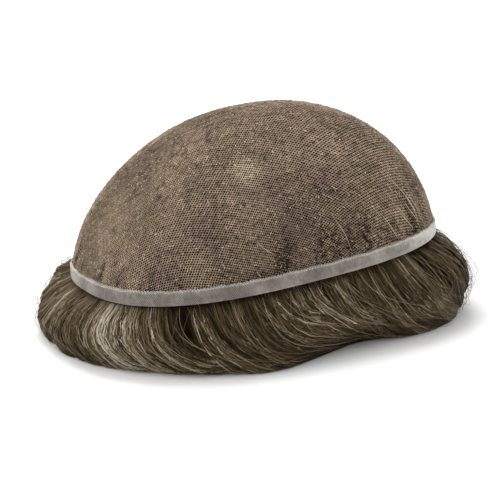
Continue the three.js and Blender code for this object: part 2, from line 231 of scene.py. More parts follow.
    def place(self, points: np.ndarray) -> np.ndarray:
        """Points of the base where it lies."""
        return points @ self.tilt().T + self.shift()


BASE = BaseForm()


def even_directions(count: int) -> np.ndarray:
    """Directions of stations that are evenly spaced along the hem.

    Args:
        count: Number of stations round the whole hem.

    Returns:
        The stations' directions.
    """
    fine = np.linspace(0, 360, 7201)
    steps = np.linalg.norm(np.diff(BASE.outline(fine), axis=0), axis=1)
    run = np.concatenate([[0], np.cumsum(steps)])
    return np.interp(np.arange(count) / count * run[-1], run, fine)


class HemRun:
    """Length along the hem by direction, and back."""

    def __init__(self) -> None:
        """Measures the hem once, with half a turn more at each end."""
        self.direction = np.linspace(-180, 540, 14401)
        steps = np.linalg.norm(np.diff(BASE.outline(self.direction), axis=0), axis=1)
        self.length = np.concatenate([[0], np.cumsum(steps)])

    def at(self, direction: np.ndarray) -> np.ndarray:
        """Length along the hem at a direction."""
        return np.interp(direction, self.direction, self.length)

    def back(self, length: np.ndarray) -> np.ndarray:
        """Direction at a length along the hem."""
        return np.interp(length, self.length, self.direction)


RUN = HemRun()


@dataclass(frozen=True)
class HairForm:
    """Outer form of the hair below the hem, with the values of the part's source.

    Each row is belly, level, foot and sweep, for every 20 degrees from direction 0.
    """

    spread: float = 15.5
    root: float = -1.5
    lock_width: float = 13.0
    lock_depth: float = 6.0
    thickness: float = 8.0
    arch_height: float = 10.0
    arch_middle: float = 133.0
    arch_width: float = 20.0
    combed: tuple[tuple[float, float, float], ...] = ((163, 24, 0.75), (345, 15, 0.65))
    foot_fullness: float = 3.0
    rows: tuple[tuple[float, float, float, float], ...] = (
        (1.1, 0.36, 0.7, 0),
        (0.95, 0.4, 0.6, -14),
        (0.75, 0.45, 0.48, -26),
        (0.6, 0.48, 0.4, -30),
        (0.55, 0.48, 0.35, -28),
        (0.6, 0.48, 0.38, -24),
        (0.75, 0.42, 0.48, -20),
        (1.05, 0.32, 0.62, -12),
        (1.12, 0.34, 0.85, -5),
        (1.05, 0.44, 0.88, 4),
        (0.75, 0.48, 0.35, 13),
        (0.45, 0.48, 0.0, 22),
        (0.42, 0.5, 0.02, 28),
        (0.42, 0.5, 0.22, 28),
        (0.3, 0.5, -0.6, 30),
        (0.6, 0.45, 0.1, 34),
        (0.85, 0.4, 0.5, 27),
        (1.1, 0.36, 0.66, 12),
    )

    def column(self, index: int, direction: np.ndarray) -> np.ndarray:
        """One column of the rows at each direction."""
        return round_table([row[index] for row in self.rows], direction)

    def sweep(self, direction: np.ndarray) -> np.ndarray:
        """How far the hair drifts round the hem on its way down, in degrees."""
        return self.column(3, direction)

    def out(self, direction: np.ndarray, fall: np.ndarray) -> np.ndarray:
        """How far the hair stands out from the hem at a share of its fall."""
        belly, foot = self.spread * self.column(0, direction), self.spread * self.column(2, direction)
        level = self.column(1, direction)
        quarter = math.pi / 2
        rising = self.root + (belly - self.root) * np.sin(np.clip(fall / level, 0, 1) * quarter)
        share = np.clip((fall - level) / (1 - level), 0, 1)
        return np.where(fall < level, rising, belly + (foot - belly) * (1 - np.cos(share * quarter)))

    def lay(self, direction: np.ndarray, fall: np.ndarray) -> np.ndarray:
        """How far the loose hair stands out. It leaves the ribbon straighter at both combed ends."""
        formed = self.out(direction, fall)
        belly = self.spread * self.column(0, direction)
        straight = self.root + (belly - self.root) * np.clip(fall / 0.62, 0, 1) ** 0.85
        for middle, width, share in self.combed:
            off = np.mod(direction - middle + 180, 360) - 180
            near = share * np.exp(-((off / width) ** 2))
            formed = formed + (np.minimum(straight, formed) - formed) * near
        first = self.combed[0]
        beside = np.exp(-(((direction - first[0]) / first[1]) ** 2))
        return formed + self.foot_fullness * beside * smoothstep(fall, 0.4, 0.75)

    def arch(self, direction: np.ndarray, turn: np.ndarray) -> np.ndarray:
        """How far the springy hair beside the front end rises before it falls."""
        beside = np.exp(-(((direction - self.arch_middle) / self.arch_width) ** 2))
        return self.arch_height * beside * np.sin(np.clip(turn / 0.8, 0, 1) * math.pi)

    def hem_height(self, direction: np.ndarray) -> np.ndarray:
        """Height of the hem over the surface."""
        return BASE.place(BASE.outline(direction))[..., 2]

    def point(self, direction: np.ndarray, fall: np.ndarray, out: np.ndarray) -> np.ndarray:
        """Points in the hair. fall is 0 at the hem and 1 at the surface."""
        level = BASE.outline(direction) + BASE.normal(direction) * out[..., None]
        hem = BASE.place(level)
        up = BASE.tilt()[:, 2]
        return hem - up * (fall * hem[..., 2] / up[2])[..., None]


HAIR = HairForm()


class Value:
    """A number on a shader's socket, for use in arithmetic."""

    def __init__(self, shader: "Shader", socket: bpy.types.NodeSocket) -> None:
        """Keeps the socket and the shader that it belongs to."""
        self.shader = shader
        self.socket = socket

    def maths(self, operation: str, first: object, second: object = 0.0) -> "Value":
        """Adds one Math node.

        Args:
            operation: The node's operation.
            first: First number or value.
            second: Second number or value.

        Returns:
            The node's result.
        """
        return self.shader.node(
            "ShaderNodeMath", {"operation": operation}, {0: first, 1: second}
        )[0]

    def __add__(self, other: object) -> "Value":
        """This value plus another."""
        return self.maths("ADD", self, other)

    def __radd__(self, other: object) -> "Value":
        """Another value plus this one."""
        return self.maths("ADD", other, self)

    def __sub__(self, other: object) -> "Value":
        """This value less another."""
        return self.maths("SUBTRACT", self, other)

    def __rsub__(self, other: object) -> "Value":
        """Another value less this one."""
        return self.maths("SUBTRACT", other, self)

    def __mul__(self, other: object) -> "Value":
        """This value times another."""
        return self.maths("MULTIPLY", self, other)

    def __rmul__(self, other: object) -> "Value":
        """Another value times this one."""
        return self.maths("MULTIPLY", other, self)

    def __truediv__(self, other: object) -> "Value":
        """This value over another."""
        return self.maths("DIVIDE", self, other)

    def __pow__(self, other: object) -> "Value":
        """This value to a power."""
        return self.maths("POWER", self, other)

    def wave(self) -> "Value":
        """Even wave from 0 to 1 with one crest for each whole number."""
        return self.maths("SINE", self * (2 * math.pi)) * 0.5 + 0.5

    def clamped(self) -> "Value":
        """This value kept from 0 to 1."""
        return self.maths("MINIMUM", self.maths("MAXIMUM", self, 0.0), 1.0)


class Shader:
    """One material and its nodes."""

    def __init__(self, name: str) -> None:
        """Starts an empty material."""
        self.material = bpy.data.materials.new(name)
        self.material.use_nodes = True
        self.tree = self.material.node_tree
        self.tree.nodes.clear()

    def node(
        self, kind: str, settings: dict[str, object], sockets: dict[int | str, object]
    ) -> list[Value]:
        """Adds a node.

        Args:
            kind: The node's type.
            settings: Its own settings, set first. stops are a ramp's positions and colours.
            sockets: Numbers, colours or links of its inputs, by name or place.

        Returns:
            Its outputs in order.
        """
        made = self.tree.nodes.new(kind)
        for key, value in settings.items():
            if key == "stops":
                self.set_stops(made.color_ramp, value)
            else:
                setattr(made, key, value)
        for key, value in sockets.items():
            if isinstance(value, Value):
                self.tree.links.new(value.socket, made.inputs[key])
            else:
                made.inputs[key].default_value = value
        return [Value(self, socket) for socket in made.outputs]

    @staticmethod
    def set_stops(ramp: bpy.types.ColorRamp, stops: Sequence[tuple[float, Colour]]) -> None:
        """Gives a ramp its stops.

        Args:
            ramp: The ramp to set.
            stops: Each stop's place and colour.
        """
        while len(ramp.elements) < len(stops):
            ramp.elements.new(1.0)
        for element, (place, colour) in zip(ramp.elements, stops, strict=True):
            element.position = place
            element.color = colour

    def noise(self, scale: float, where: Value, detail: float = 2.0, rough: float = 0.5) -> Value:
        """Noise from about 0 to 1.

        Args:
            scale: Its fineness, in cycles for each unit of where.
            where: The place it is read at.
            detail: Number of finer layers.
            rough: Strength of the finer layers.

        Returns:
            The noise.
        """
        sockets = {"Vector": where, "Scale": scale, "Detail": detail, "Roughness": rough}
        return self.node("ShaderNodeTexNoise", {}, sockets)[0]

    def ramp(self, along: Value, stops: Sequence[tuple[float, Colour]]) -> Value:
        """Colour from a ramp."""
        return self.node("ShaderNodeValToRGB", {"stops": stops}, {0: along})[0]

    def mix(self, share: Value | float, first: Value | Colour, second: Value | Colour) -> Value:
        """Mix of two colours."""
        sockets = {0: share, 6: first, 7: second}
        return self.node("ShaderNodeMix", {"data_type": "RGBA"}, sockets)[2]

    def shade(self, colour: Value, light: Value) -> Value:
        """Colour times a number."""
        grey = self.node("ShaderNodeCombineColor", {}, {0: light, 1: light, 2: light})[0]
        sockets = {0: 1.0, 6: colour, 7: grey}
        return self.node("ShaderNodeMix", {"data_type": "RGBA", "blend_type": "MULTIPLY"}, sockets)[2]

    def place(self) -> Value:
        """Place on the piece, in metres."""
        return self.node("ShaderNodeTexCoord", {}, {})[3]

    def stretched(self, where: Value, scale: tuple[float, float, float]) -> Value:
        """Place with each axis scaled."""
        settings = {"operation": "MULTIPLY"}
        return self.node("ShaderNodeVectorMath", settings, {0: where, 1: scale})[0]

    def attribute(self, name: str) -> Value:
        """A number that the mesh carries at its corners."""
        return self.node("ShaderNodeAttribute", {"attribute_name": name}, {})[2]

    def vector_attribute(self, name: str) -> Value:
        """A place that the mesh carries at its corners."""
        return self.node("ShaderNodeAttribute", {"attribute_name": name}, {})[1]

    def bump(self, height: Value, depth: float) -> Value:
        """Normal from a height.

        Args:
            height: Height from 0 to 1.
            depth: What a height of 1 stands for, in metres.

        Returns:
            The normal.
        """
        return self.node("ShaderNodeBump", {}, {"Strength": 1.0, "Distance": depth, "Height": height})[0]

    def surface(self, sockets: dict[int | str, object]) -> bpy.types.Material:
        """Ends the material with a principled surface.

        Args:
            sockets: What goes into the surface's sockets.

        Returns:
            The finished material.
        """
        made = self.node("ShaderNodeBsdfPrincipled", {}, sockets)[0]
        self.node("ShaderNodeOutputMaterial", {}, {"Surface": made})
        return self.material


@dataclass(frozen=True)
class HairFinish:
    """Hair in tones from near black over brown and gold to pale grey, read at each corner."""

    name: str
    roughness: float = 0.4
    glint: float = 0.06
    tint: Colour = (1.0, 0.84, 0.6, 1)
    stops: tuple[tuple[float, Colour], ...] = (
        (0.0, (0.011, 0.008, 0.004, 1)),
        (0.3, (0.052, 0.036, 0.018, 1)),
        (0.55, (0.135, 0.097, 0.05, 1)),
        (0.78, (0.3, 0.235, 0.145, 1)),
        (1.0, (0.62, 0.56, 0.45, 1)),
    )

    def material(self) -> bpy.types.Material:
        """Material of single strands."""
        shader = Shader(self.name)
        patches = shader.noise(120.0, shader.place(), 1.0)
        tone = shader.attribute("tone") + (patches - 0.5) * 0.16
        colour = shader.ramp(tone, self.stops)
        return shader.surface(
            {
                "Base Color": colour,
                "Roughness": self.roughness,
                "Specular IOR Level": self.glint,
                "Specular Tint": self.tint,
            }
        )


@dataclass(frozen=True)
class StreakFinish:
    """Hair seen as a mass: streaks that run along the hair, with the painted shade in the partings that its tone
    attribute carries.
    """

    name: str
    across: float = 900.0
    along: float = 26.0
    gain: float = 0.3
    base: float = 0.0

    def material(self) -> bpy.types.Material:
        """Material of a mass of hair."""
        shader = Shader(self.name)
        grain = shader.stretched(shader.vector_attribute("grain"), (self.across, self.along, 1.0))
        fine = shader.noise(1.0, grain, 3.0, 0.6)
        broad = shader.noise(0.22, grain, 1.0)
        tone = shader.attribute("tone") + self.base + (fine - 0.5) * self.gain + (broad - 0.5) * 0.2
        colour = shader.ramp(tone, HairFinish("").stops)
        normal = shader.bump(fine * 0.7 + broad * 0.3, 0.0006)
        return shader.surface(
            {"Base Color": colour, "Roughness": 0.8, "Specular IOR Level": 0.0, "Normal": normal}
        )


@dataclass(frozen=True)
class NetFinish:
    """Thread of the lace: beige, with mauve, greenish and brown blotches, and with the painted light and shade
    that its tone attribute carries.
    """

    name: str = "lace_thread"
    pale: Colour = (0.37, 0.275, 0.19, 1)
    mauve: Colour = (0.215, 0.15, 0.122, 1)
    green: Colour = (0.185, 0.15, 0.088, 1)
    dark: Colour = (0.06, 0.041, 0.027, 1)
    gold: Colour = (0.58, 0.46, 0.32, 1)
    spot: tuple[float, float, float] = (-0.0244, -0.0362, 0.0839)
    spot_size: float = 0.0095

    def material(self) -> bpy.types.Material:
        """Material of the net."""
        shader = Shader(self.name)
        where = shader.place()
        broad = shader.noise(38.0, where, 3.0, 0.6)
        other = shader.noise(61.0, shader.stretched(where, (1.0, -1.0, 1.0)), 2.0, 0.55)
        fine = shader.noise(420.0, where, 2.0, 0.6)
        colour = shader.mix(((other - 0.42) * 3.2).clamped(), self.mauve, self.green)
        colour = shader.mix(((broad - 0.36) * 3.0).clamped(), colour, self.pale)
        tone = shader.attribute("tone")
        away = shader.node("ShaderNodeVectorMath", {"operation": "DISTANCE"}, {0: where, 1: self.spot})[1]
        bald = (1.15 - away * (1 / self.spot_size) + (other - 0.5) * 0.9).clamped()
        colour = shader.mix(bald, colour, self.gold)
        # Low tone, from random blotches and from painted shade, turns the thread dark brown; tone also scales its
        # brightness.
        colour = shader.mix(((0.44 - tone) * 2.4).clamped(), colour, self.dark)
        colour = shader.shade(colour, tone * 1.35 + fine * 0.8 - 0.13)
        normal = shader.bump(fine, 0.0002)
        return shader.surface(
            {
                "Base Color": colour,
                "Roughness": 0.78,
                "Specular IOR Level": 0.12,
                "Sheen Weight": 0.06,
                "Sheen Roughness": 0.45,
                "Sheen Tint": self.gold,
                "Normal": normal,
            }
        )


@dataclass(frozen=True)
class KnotFinish:
    """Knots and cut ends of hair on the lace, from brown to pale gold."""

    name: str = "hair_knots"
    stops: tuple[tuple[float, Colour], ...] = (
        (0.0, (0.04, 0.028, 0.018, 1)),
        (0.3, (0.24, 0.17, 0.1, 1)),
        (0.65, (0.52, 0.4, 0.26, 1)),
        (1.0, (0.8, 0.69, 0.52, 1)),
    )

    def material(self) -> bpy.types.Material:
        """Material of the knots."""
        shader = Shader(self.name)
        colour = shader.ramp(shader.attribute("tone"), self.stops)
        return shader.surface({"Base Color": colour, "Roughness": 0.5, "Specular IOR Level": 0.4})


@dataclass(frozen=True)
class RibbonFinish:
    """Net ribbon with a fine slanting weave and paler edges, and painted light that makes it whiter at both ends
    of the base.
    """

    name: str = "ribbon_weave"
    pale: Colour = (0.62, 0.595, 0.54, 1)
    grey: Colour = (0.25, 0.216, 0.19, 1)
    shade: Colour = (0.1, 0.083, 0.072, 1)
    pitch: float = 1050.0

    def material(self) -> bpy.types.Material:
        """Material of the ribbon. grain is the length along it and the height up it."""
        shader = Shader(self.name)
        grain = shader.vector_attribute("grain")
        parts = shader.node("ShaderNodeSeparateXYZ", {}, {0: grain})
        run, height = parts[0], parts[1]
        slant = (run * self.pitch + height * self.pitch * 0.8).wave()
        counter = (run * self.pitch - height * self.pitch * 0.8).wave()
        holes = (slant * counter * 1.5).clamped()
        cloudy = shader.noise(420.0, grain, 2.0, 0.6)
        broad = shader.noise(95.0, grain, 1.0)
        tone = shader.attribute("tone") + (broad - 0.5) * 0.9
        colour = shader.mix(tone.clamped(), self.grey, self.pale)
        colour = shader.mix(((1 - holes) * 0.75 * (1.1 - tone)).clamped(), colour, self.shade)
        colour = shader.shade(colour, cloudy * 0.8 + 0.6)
        normal = shader.bump(holes, 0.00022)
        return shader.surface(
            {"Base Color": colour, "Roughness": 0.72, "Specular IOR Level": 0.3, "Normal": normal}
        )


@dataclass(frozen=True)
class PlainFinish:
    """One even colour with a little mottling, for thread and for the surface below."""

    name: str
    colour: Colour
    roughness: float = 0.7
    mottle: float = 0.1
    scale: float = 300.0

    def material(self) -> bpy.types.Material:
        """Material of the plain finish."""
        shader = Shader(self.name)
        spots = shader.noise(self.scale, shader.place(), 1.0)
        mottled = spots * (2 * self.mottle) + (1 - self.mottle)
        colour = shader.shade(shader.mix(0.0, self.colour, self.colour), mottled)
        return shader.surface({"Base Color": colour, "Roughness": self.roughness})


@dataclass
class Faces:
    """A mesh in the making: corners in millimetres, faces, and what each carries."""

    corners: np.ndarray
    quads: np.ndarray
    quad_uv: np.ndarray
    triangles: np.ndarray = field(default_factory=lambda: np.zeros((0, 3), int))
    triangle_uv: np.ndarray = field(default_factory=lambda: np.zeros((0, 3, 2)))
    tone: np.ndarray | None = None
    grain: np.ndarray | None = None


class Slot(Enum):
    """Names of the material slots."""

    NET = "lace_net"
    RIBBON = "ribbon"
    CROWN = "crown_hair"
    HAIR = "hair"


def make_piece(
    name: str, faces: Faces, look: bpy.types.Material, replaces: Sequence[str] = ()
) -> bpy.types.Object:
    """Makes one piece of the hairpiece.

    Args:
        name: The piece's name.
        faces: Its mesh.
        look: Its material.
        replaces: The solids that it stands for.

    Returns:
        The new object, which rides on the root.
    """
    mesh = bpy.data.meshes.new(name)
    order = np.concatenate([faces.quads.ravel(), faces.triangles.ravel()]).astype(np.int32)
    count = len(faces.quads) + len(faces.triangles)
    starts = np.concatenate(
        [4 * np.arange(len(faces.quads)), 4 * len(faces.quads) + 3 * np.arange(len(faces.triangles))]
    )
    mesh.vertices.add(len(faces.corners))
    mesh.vertices.foreach_set("co", (faces.corners * METRES).astype(np.float32).ravel())
    mesh.loops.add(len(order))
    mesh.loops.foreach_set("vertex_index", order)
    mesh.polygons.add(count)
    mesh.polygons.foreach_set("loop_start", starts.astype(np.int32))
    mesh.update(calc_edges=True)
    uv = np.concatenate([faces.quad_uv.reshape(-1, 2), faces.triangle_uv.reshape(-1, 2)])
    mesh.uv_layers.new(name="OFBake").data.foreach_set("uv", uv.astype(np.float32).ravel())
    if faces.tone is not None:
        tone = mesh.attributes.new("tone", "FLOAT", "POINT")
        tone.data.foreach_set("value", faces.tone.astype(np.float32).ravel())
    if faces.grain is not None:
        grain = mesh.attributes.new("grain", "FLOAT_VECTOR", "POINT")
        grain.data.foreach_set("vector", faces.grain.astype(np.float32).ravel())
    mesh.shade_smooth()
    mesh.materials.append(look)
    piece = bpy.data.objects.new(name, mesh)
    bpy.context.scene.collection.objects.link(piece)
    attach(piece, "root")
    if replaces:
        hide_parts(*replaces)
    triangles = 2 * len(faces.quads) + len(faces.triangles)
    log.info("%s: %d triangles", name, triangles)
    return piece


def loft(sections: np.ndarray, closed: bool) -> Faces:
    """Closed skin over a row of closed sections.

    Args:
        sections: Points of each section, as sections by points by 3.
        closed: Whether the last section joins the first. An open run gets caps of strips.

    Returns:
        The skin, whose map holds the run across and the section up.
    """
    count, size = sections.shape[:2]
    index = np.arange(count * size).reshape(count, size)
    here = index if closed else index[:-1]
    ahead = np.roll(index, -1, 0) if closed else index[1:]
    quads = np.stack([here, np.roll(here, -1, 1), np.roll(ahead, -1, 1), ahead], -1)
    spans = len(here)
    u = 0.03 + 0.94 * np.arange(spans + 1) / spans
    v = np.arange(size + 1) / size
    low_u, high_u = u[:-1, None] + 0 * v[None, :-1], u[1:, None] + 0 * v[None, :-1]
    low_v, high_v = v[None, :-1] + 0 * u[:-1, None], v[None, 1:] + 0 * u[:-1, None]
    uv = np.stack([low_u, low_v, low_u, high_v, high_u, high_v, high_u, low_v], -1)
    quads, uv = quads.reshape(-1, 4), uv.reshape(-1, 4, 2)
    if not closed:
        side = np.arange(size // 2 - 1)
        back = size - 1 - side
        first, last = index[0], index[-1]
        start = np.stack([first[side], first[back], first[back - 1], first[side + 1]], -1)
        end = np.stack([last[side + 1], last[back - 1], last[back], last[side]], -1)
        a, b = side / size * 2, (side + 1) / size * 2
        zero, edge = 0 * a, 0 * a + 0.02
        start_uv = np.stack([edge, a, zero, a, zero, b, edge, b], -1).reshape(-1, 4, 2)
        end_uv = 1 - np.stack([edge, b, zero, b, zero, a, edge, a], -1).reshape(-1, 4, 2)
        quads, uv = np.concatenate([quads, start, end]), np.concatenate([uv, start_uv, end_uv])
    faces = Faces(sections.reshape(-1, 3), quads, uv)
    return facing_out(faces)


def facing_out(faces: Faces) -> Faces:
    """The same mesh, turned over if its faces point in."""
    a, b, c, d = (faces.corners[faces.quads[:, k]] for k in range(4))
    volume = (a * (np.cross(b, c) + np.cross(c, d))).sum()
    if volume < 0:
        faces.quads = faces.quads[:, ::-1]
        faces.quad_uv = faces.quad_uv[:, ::-1]
    return faces


def tubes(paths: np.ndarray, radii: np.ndarray, outward: np.ndarray) -> Faces:
    """Closed tubes with three sides, all in one mesh.

    Args:
        paths: Points of each strand, as strands by points by 3.
        radii: The radius at each point.
        outward: A direction at each point that a side turns to.

    Returns:
        The tubes. Each has its own cell of the map.
    """
    count, points = radii.shape
    sides = 3
    ahead = unit(np.gradient(paths, axis=1))
    across = unit(np.cross(outward, ahead))
    proud = np.cross(ahead, across)
    angle = 2 * math.pi * (np.arange(sides) + 0.25) / sides
    ring = (
        across[:, :, None] * np.cos(angle)[None, None, :, None]
        + proud[:, :, None] * np.sin(angle)[None, None, :, None]
    )
    corners = paths[:, :, None] + ring * radii[:, :, None, None]
    index = np.arange(count * points * sides).reshape(count, points, sides)
    here, next_ring = index[:, :-1], index[:, 1:]
    quads = np.stack([here, np.roll(here, -1, 2), np.roll(next_ring, -1, 2), next_ring], -1)
    caps = np.concatenate([index[:, 0, ::-1], index[:, -1]])
    cells = math.ceil(math.sqrt(count))
    place = np.stack([np.arange(count) % cells, np.arange(count) // cells], -1) / cells
    u = (0.06 + 0.88 * np.arange(sides + 1) / sides) / cells
    v = (0.12 + 0.76 * np.arange(points) / (points - 1)) / cells
    low_u, high_u = np.broadcast_arrays(u[None, :-1] + 0 * v[:-1, None], u[None, 1:] + 0 * v[:-1, None])
    low_v, high_v = np.broadcast_arrays(v[:-1, None] + 0 * u[None, :-1], v[1:, None] + 0 * u[None, :-1])
    cell_uv = np.stack([low_u, low_v, high_u, low_v, high_u, high_v, low_u, high_v], -1)
    quad_uv = cell_uv.reshape(1, -1, 4, 2) + place[:, None, None]
    start = np.array([[0.1, 0.09], [0.9, 0.09], [0.5, 0.03]]) / cells
    end = np.array([[0.1, 0.91], [0.5, 0.97], [0.9, 0.91]]) / cells
    cap_uv = np.concatenate([place[:, None] + start, place[:, None] + end])
    return Faces(corners.reshape(-1, 3), quads.reshape(-1, 4), quad_uv.reshape(-1, 4, 2), caps, cap_uv)


@dataclass
class LaceNet:
    """The lace: threads in a slanting lattice round open holes, with knots and cut ends on it."""

    pitch: float = 1.1
    row_pitch: float = 1.06
    hole: float = 0.678
    relief: float = 0.09
    row_turn: float = -26.5
    edge_height: float = 2.2
    knots: int = 17000
    creases: int = 22
    seed: int = 11

    def __post_init__(self) -> None:
        """Measures the dome along its meridians, for laying flat points on it."""
        fine = np.linspace(0, 360, 7201)
        rim = BASE.outline(fine)
        self.rim_angle = np.unwrap(np.arctan2(rim[:, 1], rim[:, 0]))
        self.rim_direction = fine
        self.meridian = np.linspace(0, 360, 721)
        climb = np.linspace(0.0005, 1, 260)
        grid = BASE.dome(*np.meshgrid(self.meridian, climb, indexing="ij"))
        steps = np.linalg.norm(np.diff(grid, axis=1), axis=2)
        arc = np.concatenate([np.zeros((len(self.meridian), 1)), np.cumsum(steps, 1)], 1)
        self.reach = float(arc.max())
        self.distance = np.linspace(0, self.reach, 400)
        self.climb = np.array([np.interp(self.distance, row, climb, right=1.0) for row in arc])
        self.beyond = arc[:, -1]

    def on_dome(self, flat: np.ndarray) -> tuple[np.ndarray, np.ndarray, np.ndarray]:
        """Lays points of the flat cut on the dome.

        Args:
            flat: Points in the plane of the cut, with its middle at the dome's top.

        Returns:
            Direction, climb, and how far inside the hem each point is.
        """
        distance = np.hypot(flat[..., 0], flat[..., 1])
        angle = np.mod(np.arctan2(flat[..., 1], flat[..., 0]), 2 * math.pi)
        direction = np.interp(angle, self.rim_angle, self.rim_direction)
        column = direction / 360 * (len(self.meridian) - 1)
        row = np.clip(distance / self.reach, 0, 1) * (len(self.distance) - 1)
        i = np.minimum(column.astype(int), len(self.meridian) - 2)
        j = np.minimum(row.astype(int), len(self.distance) - 2)
        f, g = column - i, row - j
        table = self.climb
        climb = (table[i, j] * (1 - f) + table[i + 1, j] * f) * (1 - g) + (
            table[i, j + 1] * (1 - f) + table[i + 1, j + 1] * f
        ) * g
        edge = self.beyond[i] * (1 - f) + self.beyond[i + 1] * f
        return direction, climb, edge - distance

    def turned(self, flat: np.ndarray) -> np.ndarray:
        """Points of the lattice turned so that its rows run across the near view."""
        turn = math.radians(self.row_turn)
        x, y = flat[..., 0], flat[..., 1]
        return np.stack(
            [x * math.cos(turn) - y * math.sin(turn), x * math.sin(turn) + y * math.cos(turn)], -1
        )

    def lattice(self) -> tuple[np.ndarray, np.ndarray]:
        """Crossings of the threads in the flat cut, and their random stir.

        Returns:
            The crossings as rows by columns by 2, and a random number for each.
        """
        rng = np.random.default_rng(self.seed)
        half = self.reach + 2 * self.pitch
        rows = int(2 * half / self.row_pitch)
        columns = int(2 * half / self.pitch + rows / 2)
        j, i = np.meshgrid(np.arange(rows), np.arange(columns), indexing="ij")
        x = (i + 0.5 * j) * self.pitch - half - 0.5 * rows * self.pitch
        y = j * self.row_pitch - half
        x = x + 0.6 * np.sign(x) * (np.hypot(x, 50) - 50)
        y = y + 16 * np.tanh(y / 35) - 0.004 * x**2 / (1 + (x / 70) ** 2) * np.tanh(y / 30)
        flat = np.stack([x, y], -1)
        flat += rng.normal(0, 0.045, flat.shape) * self.pitch
        flat[..., 0] += 0.5 * np.sin(y / 17.0 + x / 41.0)
        flat[..., 1] += 0.5 * np.sin(x / 23.0 - y / 37.0)
        return flat, rng.random(flat.shape[:2])

    def gathers(self, direction: np.ndarray, height: np.ndarray) -> np.ndarray:
        """Depth of the fine gathers over the ribbon."""
        rng = np.random.default_rng(self.seed + 1)
        depth = np.zeros(direction.shape)
        for middle in np.arange(0, 360, 4.5) + rng.uniform(-1.5, 1.5, 80):
            width, reach = rng.uniform(1.0, 2.2), rng.uniform(10, 30)
            strength = rng.uniform(0.15, 0.6)
            off = np.mod(direction - middle - 0.05 * (height - 10) + 180, 360) - 180
            fade = smoothstep(height, 5.0, 9.0) * (1 - smoothstep(height, 0.4 * reach, reach))
            depth += strength * np.exp(-((off / width) ** 2)) * fade
        return depth

    def build(self, look: bpy.types.Material) -> bpy.types.Object:
        """Makes the net.

        Args:
            look: The thread's material.

        Returns:
            The net.
        """
        flat, stir = self.lattice()
        rng = np.random.default_rng(self.seed + 2)
        near = np.hypot(flat[..., 0], flat[..., 1]) < self.reach
        near = near[:-1, :-1] & near[1:, 1:] & near[:-1, 1:] & near[1:, :-1]
        j, i = np.nonzero(near)
        corner = np.stack([flat[j, i], flat[j, i + 1], flat[j + 1, i + 1], flat[j + 1, i]], 1)
        middle = corner.mean(1, keepdims=True)
        scale = self.hole + rng.normal(0, 0.045, (len(corner), 1, 1))
        cut = self.turned(middle + (corner - middle) * scale)
        direction, climb, inside = self.on_dome(cut)
        height = BASE.dome(direction, climb)[..., 2]
        kept = (height > self.edge_height).all(1) & (inside > 0.5).all(1)
        direction, climb, height, cut = direction[kept], climb[kept], height[kept], cut[kept]
        j, i = j[kept], i[kept]
        weave = np.array([1, -1, 1, -1]) * self.relief
        lift = weave - self.gathers(direction, height)
        places = BASE.dome(direction, climb) + BASE.outward(direction, climb) * lift[..., None]
        index = np.full(near.shape + (4,), -1)
        index[j, i] = np.arange(4 * len(j)).reshape(-1, 4)
        quads = self.threads(index)
        uv = (0.5 + cut / (2 * (self.reach + 3))).reshape(-1, 2)
        tone = 0.56 + 0.4 * (rng.random(direction.shape) - 0.5) + 0.4 * (stir[j, i][:, None] - 0.5)
        # Painted shade: the thread is darker where the fine gathers sink in.
        tone -= 0.7 * (weave - lift)
        # Painted light and shade: the lower net is lighter round direction 205, the upper front and the lower near
        # side are darker.
        low = smoothstep(climb, 0.45, 0.8)
        tone += 0.14 * np.exp(-(((direction - 205) / 30) ** 2)) * low
        tone -= 0.09 * np.exp(-(((direction - 190) / 55) ** 2)) * (1 - low)
        tone -= 0.1 * np.exp(-(((direction - 260) / 30) ** 2)) * low
        faces = Faces(BASE.place(places.reshape(-1, 3)), quads, uv[quads], tone=tone.ravel())
        net = make_piece("lace_net", faces, look, ["lace_cap"])
        return net

    @staticmethod
    def threads(index: np.ndarray) -> np.ndarray:
        """Faces of the threads between the holes.

        Args:
            index: Corner numbers of each hole, as rows by columns by 4, or -1 where there is none.

        Returns:
            The faces, each of four corners.
        """
        here = index[:, 1:]
        left = index[:, :-1]
        upright = np.stack([left[..., 1], here[..., 0], here[..., 3], left[..., 2]], -1)
        upper, lower = index[1:], index[:-1]
        level = np.stack([lower[..., 3], lower[..., 2], upper[..., 1], upper[..., 0]], -1)
        crossing = np.stack(
            [lower[:, :-1, 2], lower[:, 1:, 3], upper[:, 1:, 0], upper[:, :-1, 1]], -1
        )
        quads = np.concatenate([q.reshape(-1, 4) for q in (upright, level, crossing)])
        return quads[(quads >= 0).all(1)]

